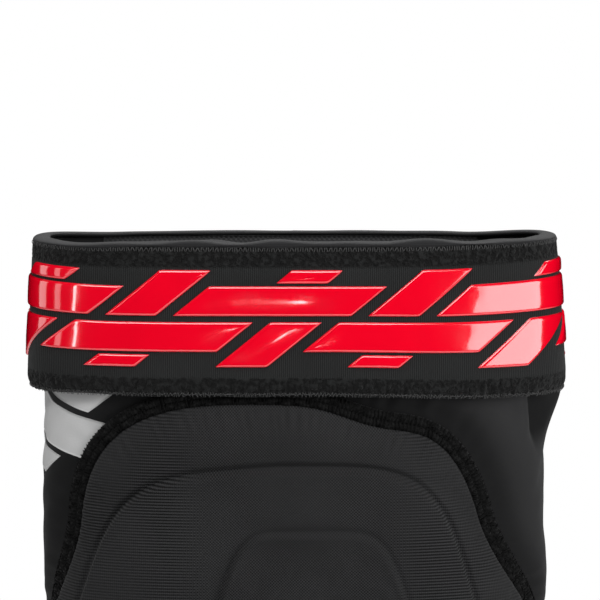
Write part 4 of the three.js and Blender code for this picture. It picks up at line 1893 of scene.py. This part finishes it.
@dataclass
class Ankle(Assembly):
    """The elastic ankle band, its stitched edge, the hem and the grip inside."""

    inside: float = 1.9 * MM
    outside: float = 3.3 * MM
    waves: int = 24

    def _band(self, share: Array) -> tuple[Array, Array]:
        """The band's cross-section, with a finely divided outer face.

        Args:
            share: shares of the way round.

        Returns:
            Its heights and offsets.
        """
        z, offset = rounded(HEM_TOP + 0.3 * MM, ANKLE_TOP, self.inside - 0.3 * MM, self.outside, 0.6 * MM)
        fine = np.linspace(z[3], z[4], 26)[1:-1]
        z = np.concatenate([z[:4], fine, z[4:]])
        offset = np.concatenate([offset[:4], np.full(len(fine), self.outside), offset[4:]])
        near_top = smooth(ANKLE_TOP - 7 * MM, ANKLE_TOP - 3 * MM, z)
        wave = ripple(share * 150, Wave.ANKLE_BAND) * 0.18 * MM * near_top
        return z * np.ones_like(share), offset + wave

    def _hem(self, share: Array) -> tuple[Array, Array]:
        """The hem's cross-section at shares of the way round."""
        z, offset = rounded(0, HEM_TOP, 0, self.outside + 0.1 * MM, 1.1 * MM, 5)
        return z * np.ones_like(share), offset + ripple(share * 60, Wave.HEM) * 0.08 * MM * (z > 1 * MM)

    def _grip(self, share: Array) -> tuple[Array, Array]:
        """The waving grip's cross-section.

        Args:
            share: shares of the way round.

        Returns:
            Its heights and offsets.
        """
        z, offset = rounded(12 * MM, 20 * MM, -1.4 * MM, -0.1 * MM, 0.6 * MM)
        swing = np.sin(TAU * self.waves * share) * 1.2 * MM
        return z * np.ones_like(share) + swing, offset * np.ones_like(share)

    def make(self) -> None:
        """Every piece of the ankle."""
        piece = join_ring(self.leg, "ankle_elastic", self._band, 640, 40)
        self.keep(piece, ANKLE_ELASTIC, "woven_elastic", "ankle_band")
        piece = join_ring(self.leg, "ankle_hem_knit", self._hem, 420, 24)
        self.keep(piece, LIP_JERSEY, "sleeve_knit", "ankle_hem_binding")
        row = Stitch(3.6 * MM, 1.2 * MM, 0.2 * MM, 0.45 * MM, 0.3)
        path = self.loop_path(ANKLE_TOP - 2.2 * MM, self.outside + 0.15 * MM)
        self.sew("ankle_serging", row, EDGE_THREAD, path, "ankle_overlock")
        piece = join_ring(self.leg, "ankle_grip_wave", self._grip, 480, 16)
        self.keep(piece, SILICONE, "silicone", "ankle_grip_ring")


@dataclass(frozen=True)
class Softbox:
    """A soft area light aimed at the cuff: angles in degrees, sizes in metres, power in watts."""

    name: str
    azimuth: float
    elevation: float
    distance: float
    width: float
    height: float
    power: float


@dataclass
class Studio:
    """Camera, lights and a plain pale floor."""

    aim: Vector
    distance: float = 1.4
    elevation: float = 7.0
    azimuth: float = 0.0
    field_width: float = 0.2
    sensor: float = 36.0
    ambient: float = 0.26
    floor_radius: float = 1.6
    floor_sides: int = 96
    floor_colour: tuple[float, ...] = (0.82, 0.82, 0.82, 1.0)
    fade_start: float = 0.35
    fade_end: float = 1.1
    boxes: tuple[Softbox, ...] = (
        Softbox("key_right", 57, 8, 1.1, 1.05, 0.9, 12.0),
        Softbox("strip_left", -47, 6, 1.1, 0.05, 0.9, 1.1),
        Softbox("edge_left", -68, 6, 1.1, 0.17, 0.9, 0.7),
        Softbox("rim_left", -98, 6, 1.1, 0.34, 0.9, 1.5),
        Softbox("front_top", -14, 60, 1.2, 1.1, 0.7, 13.0),
        Softbox("front_low", -8, -34, 1.2, 1.0, 0.4, 1.7),
        Softbox("catch_light", -0.9, -1.2, 1.5, 0.02, 0.03, 0.03),
        Softbox("back_top", 170, 48, 1.3, 1.0, 0.6, 14.0),
    )

    def _stand(self, name: str, data: Any, azimuth: float, elevation: float,
               distance: float) -> bpy.types.Object:
        """Stands a camera or a light away from the aim, facing it.

        Args:
            name: its name.
            data: the camera or the light.
            azimuth, elevation: its direction from the aim, in degrees.
            distance: how far it is.

        Returns:
            The object.
        """
        turn, up = math.radians(azimuth), math.radians(elevation)
        back = Vector((math.sin(turn) * math.cos(up), -math.cos(turn) * math.cos(up), math.sin(up)))
        made = link(name, data)
        made.location = self.aim + back * distance
        made.rotation_mode = "QUATERNION"
        made.rotation_quaternion = (-back).to_track_quat("-Z", "Y")
        return made

    def camera(self) -> None:
        """A long lens a little above the cuff."""
        data = bpy.data.cameras.new("camera")
        data.sensor_width = self.sensor
        data.lens = self.sensor * self.distance / self.field_width
        data.clip_start, data.clip_end = 0.05, 50.0
        made = self._stand("camera", data, self.azimuth, self.elevation, self.distance)
        bpy.context.scene.camera = made

    def lights(self) -> None:
        """The softboxes and an even world."""
        for box in self.boxes:
            data = bpy.data.lights.new(box.name, "AREA")
            data.shape, data.size, data.size_y, data.energy = "RECTANGLE", box.width, box.height, box.power
            self._stand(box.name, data, box.azimuth, box.elevation, box.distance)
        world = bpy.data.worlds.new("studio")
        bpy.context.scene.world = world
        world.use_nodes = True
        graph = Graph(world.node_tree)
        graph.tree.nodes.clear()
        ray = graph.node("ShaderNodeLightPath")
        strength = ray["Is Camera Ray"] + ray["Is Diffuse Ray"] * self.ambient
        sky = graph.node("ShaderNodeBackground", inputs={"Color": (1, 1, 1, 1), "Strength": strength})[0]
        graph.node("ShaderNodeOutputWorld", inputs={"Surface": sky})
        bpy.context.scene.view_settings.view_transform = "Standard"

    def floor(self) -> None:
        """A plain pale disc that the guard stands on, fading out towards its edge."""
        angles = np.linspace(0, TAU, self.floor_sides, endpoint=False)
        ring = [(self.floor_radius * math.cos(a), self.floor_radius * math.sin(a), 0.0) for a in angles]
        mesh = bpy.data.meshes.new("floor")
        mesh.from_pydata(ring, [], [tuple(range(self.floor_sides))])
        shading = Shading("pale_floor")
        away = shading.node("ShaderNodeVectorMath", {"operation": "LENGTH"}, {0: shading.place()})["Value"]
        fade = away.step(self.fade_end, self.fade_start)
        mesh.materials.append(shading.surface(Base_Color=self.floor_colour, Roughness=0.9, Alpha=fade))
        link("floor", mesh)


def main() -> None:
    """Builds the guard piece by piece around the frame."""
    logging.basicConfig(level=logging.INFO, format="%(name)s %(message)s", stream=sys.stdout)
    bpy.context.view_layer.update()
    low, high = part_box("ankle_hem_binding")
    leg, wardrobe = Leg((low.y + high.y) / 2), Wardrobe()
    cuff = Cuff(leg, wardrobe, "thigh")
    cuff.elastic()
    cuff.binding()
    cuff.serging()
    cuff.join()
    Grip(cuff).make()
    knee_steps = (
        Step(-6 * MM, 65 * MM, 56 * MM, 46 * MM, 5.0, 3.2 * MM, lean=0.21, tilt=0.07),
        Step(5 * MM, 33 * MM, 35 * MM, 28 * MM, 6.0, 1.7 * MM, lean=0.3, groove=0.5 * MM),
    )
    knee_layers = (
        Layer("knee_base_foam", 0.9, 3.0 * MM, 8.4 * MM, FOAM),
        Layer("knee_middle_foam", 0.62, 8.8 * MM, 11.4 * MM, FOAM),
        Layer("knee_cap_insert", 0.34, 11.8 * MM, 13.8 * MM, PLATE),
    )
    knee = Pad(leg, wardrobe, "thigh", up=77 * MM, lean=7 * MM, dip=5.5 * MM, steps=knee_steps,
               layers=knee_layers)
    upper = Sleeve(leg, wardrobe, "thigh", pad=knee)
    upper.make()
    knee.make()
    SidePrint(leg, wardrobe, "thigh", sleeve=upper).make()
    Gusset(leg, wardrobe, "thigh").make()
    shin_steps = (Step(0.0, 34 * MM, 46 * MM, 52 * MM, 4.0, 2.6 * MM, lean=0.1),)
    shin_layers = (
        Layer("shin_foam", 0.88, 3.0 * MM, 7.4 * MM, FOAM),
        Layer("shin_plate", 0.6, 7.8 * MM, 10.2 * MM, PLATE),
    )
    shin = Pad(leg, wardrobe, "shin", part="shin", centre=124 * MM, half=55 * MM, up=64 * MM,
               down=74 * MM, square=3.0, taper=0.12, dome=7.6 * MM, steps=shin_steps, cells=150,
               layers=shin_layers)
    Sleeve(leg, wardrobe, "shin", nodes="shin", low=HEM_TOP + 0.4 * MM, high=GUSSET_LOW, pad=shin).make()
    shin.make()
    Ankle(leg, wardrobe, "shin").make()
    front = leg.at(0.0, CUFF_MIDDLE, cuff.face(CUFF_MIDDLE))
    studio = Studio(aim=Vector((1.5 * MM, float(front[1]), 442.5 * MM)))
    studio.camera()
    studio.lights()
    studio.floor()


if __name__ == "__main__":
    main()
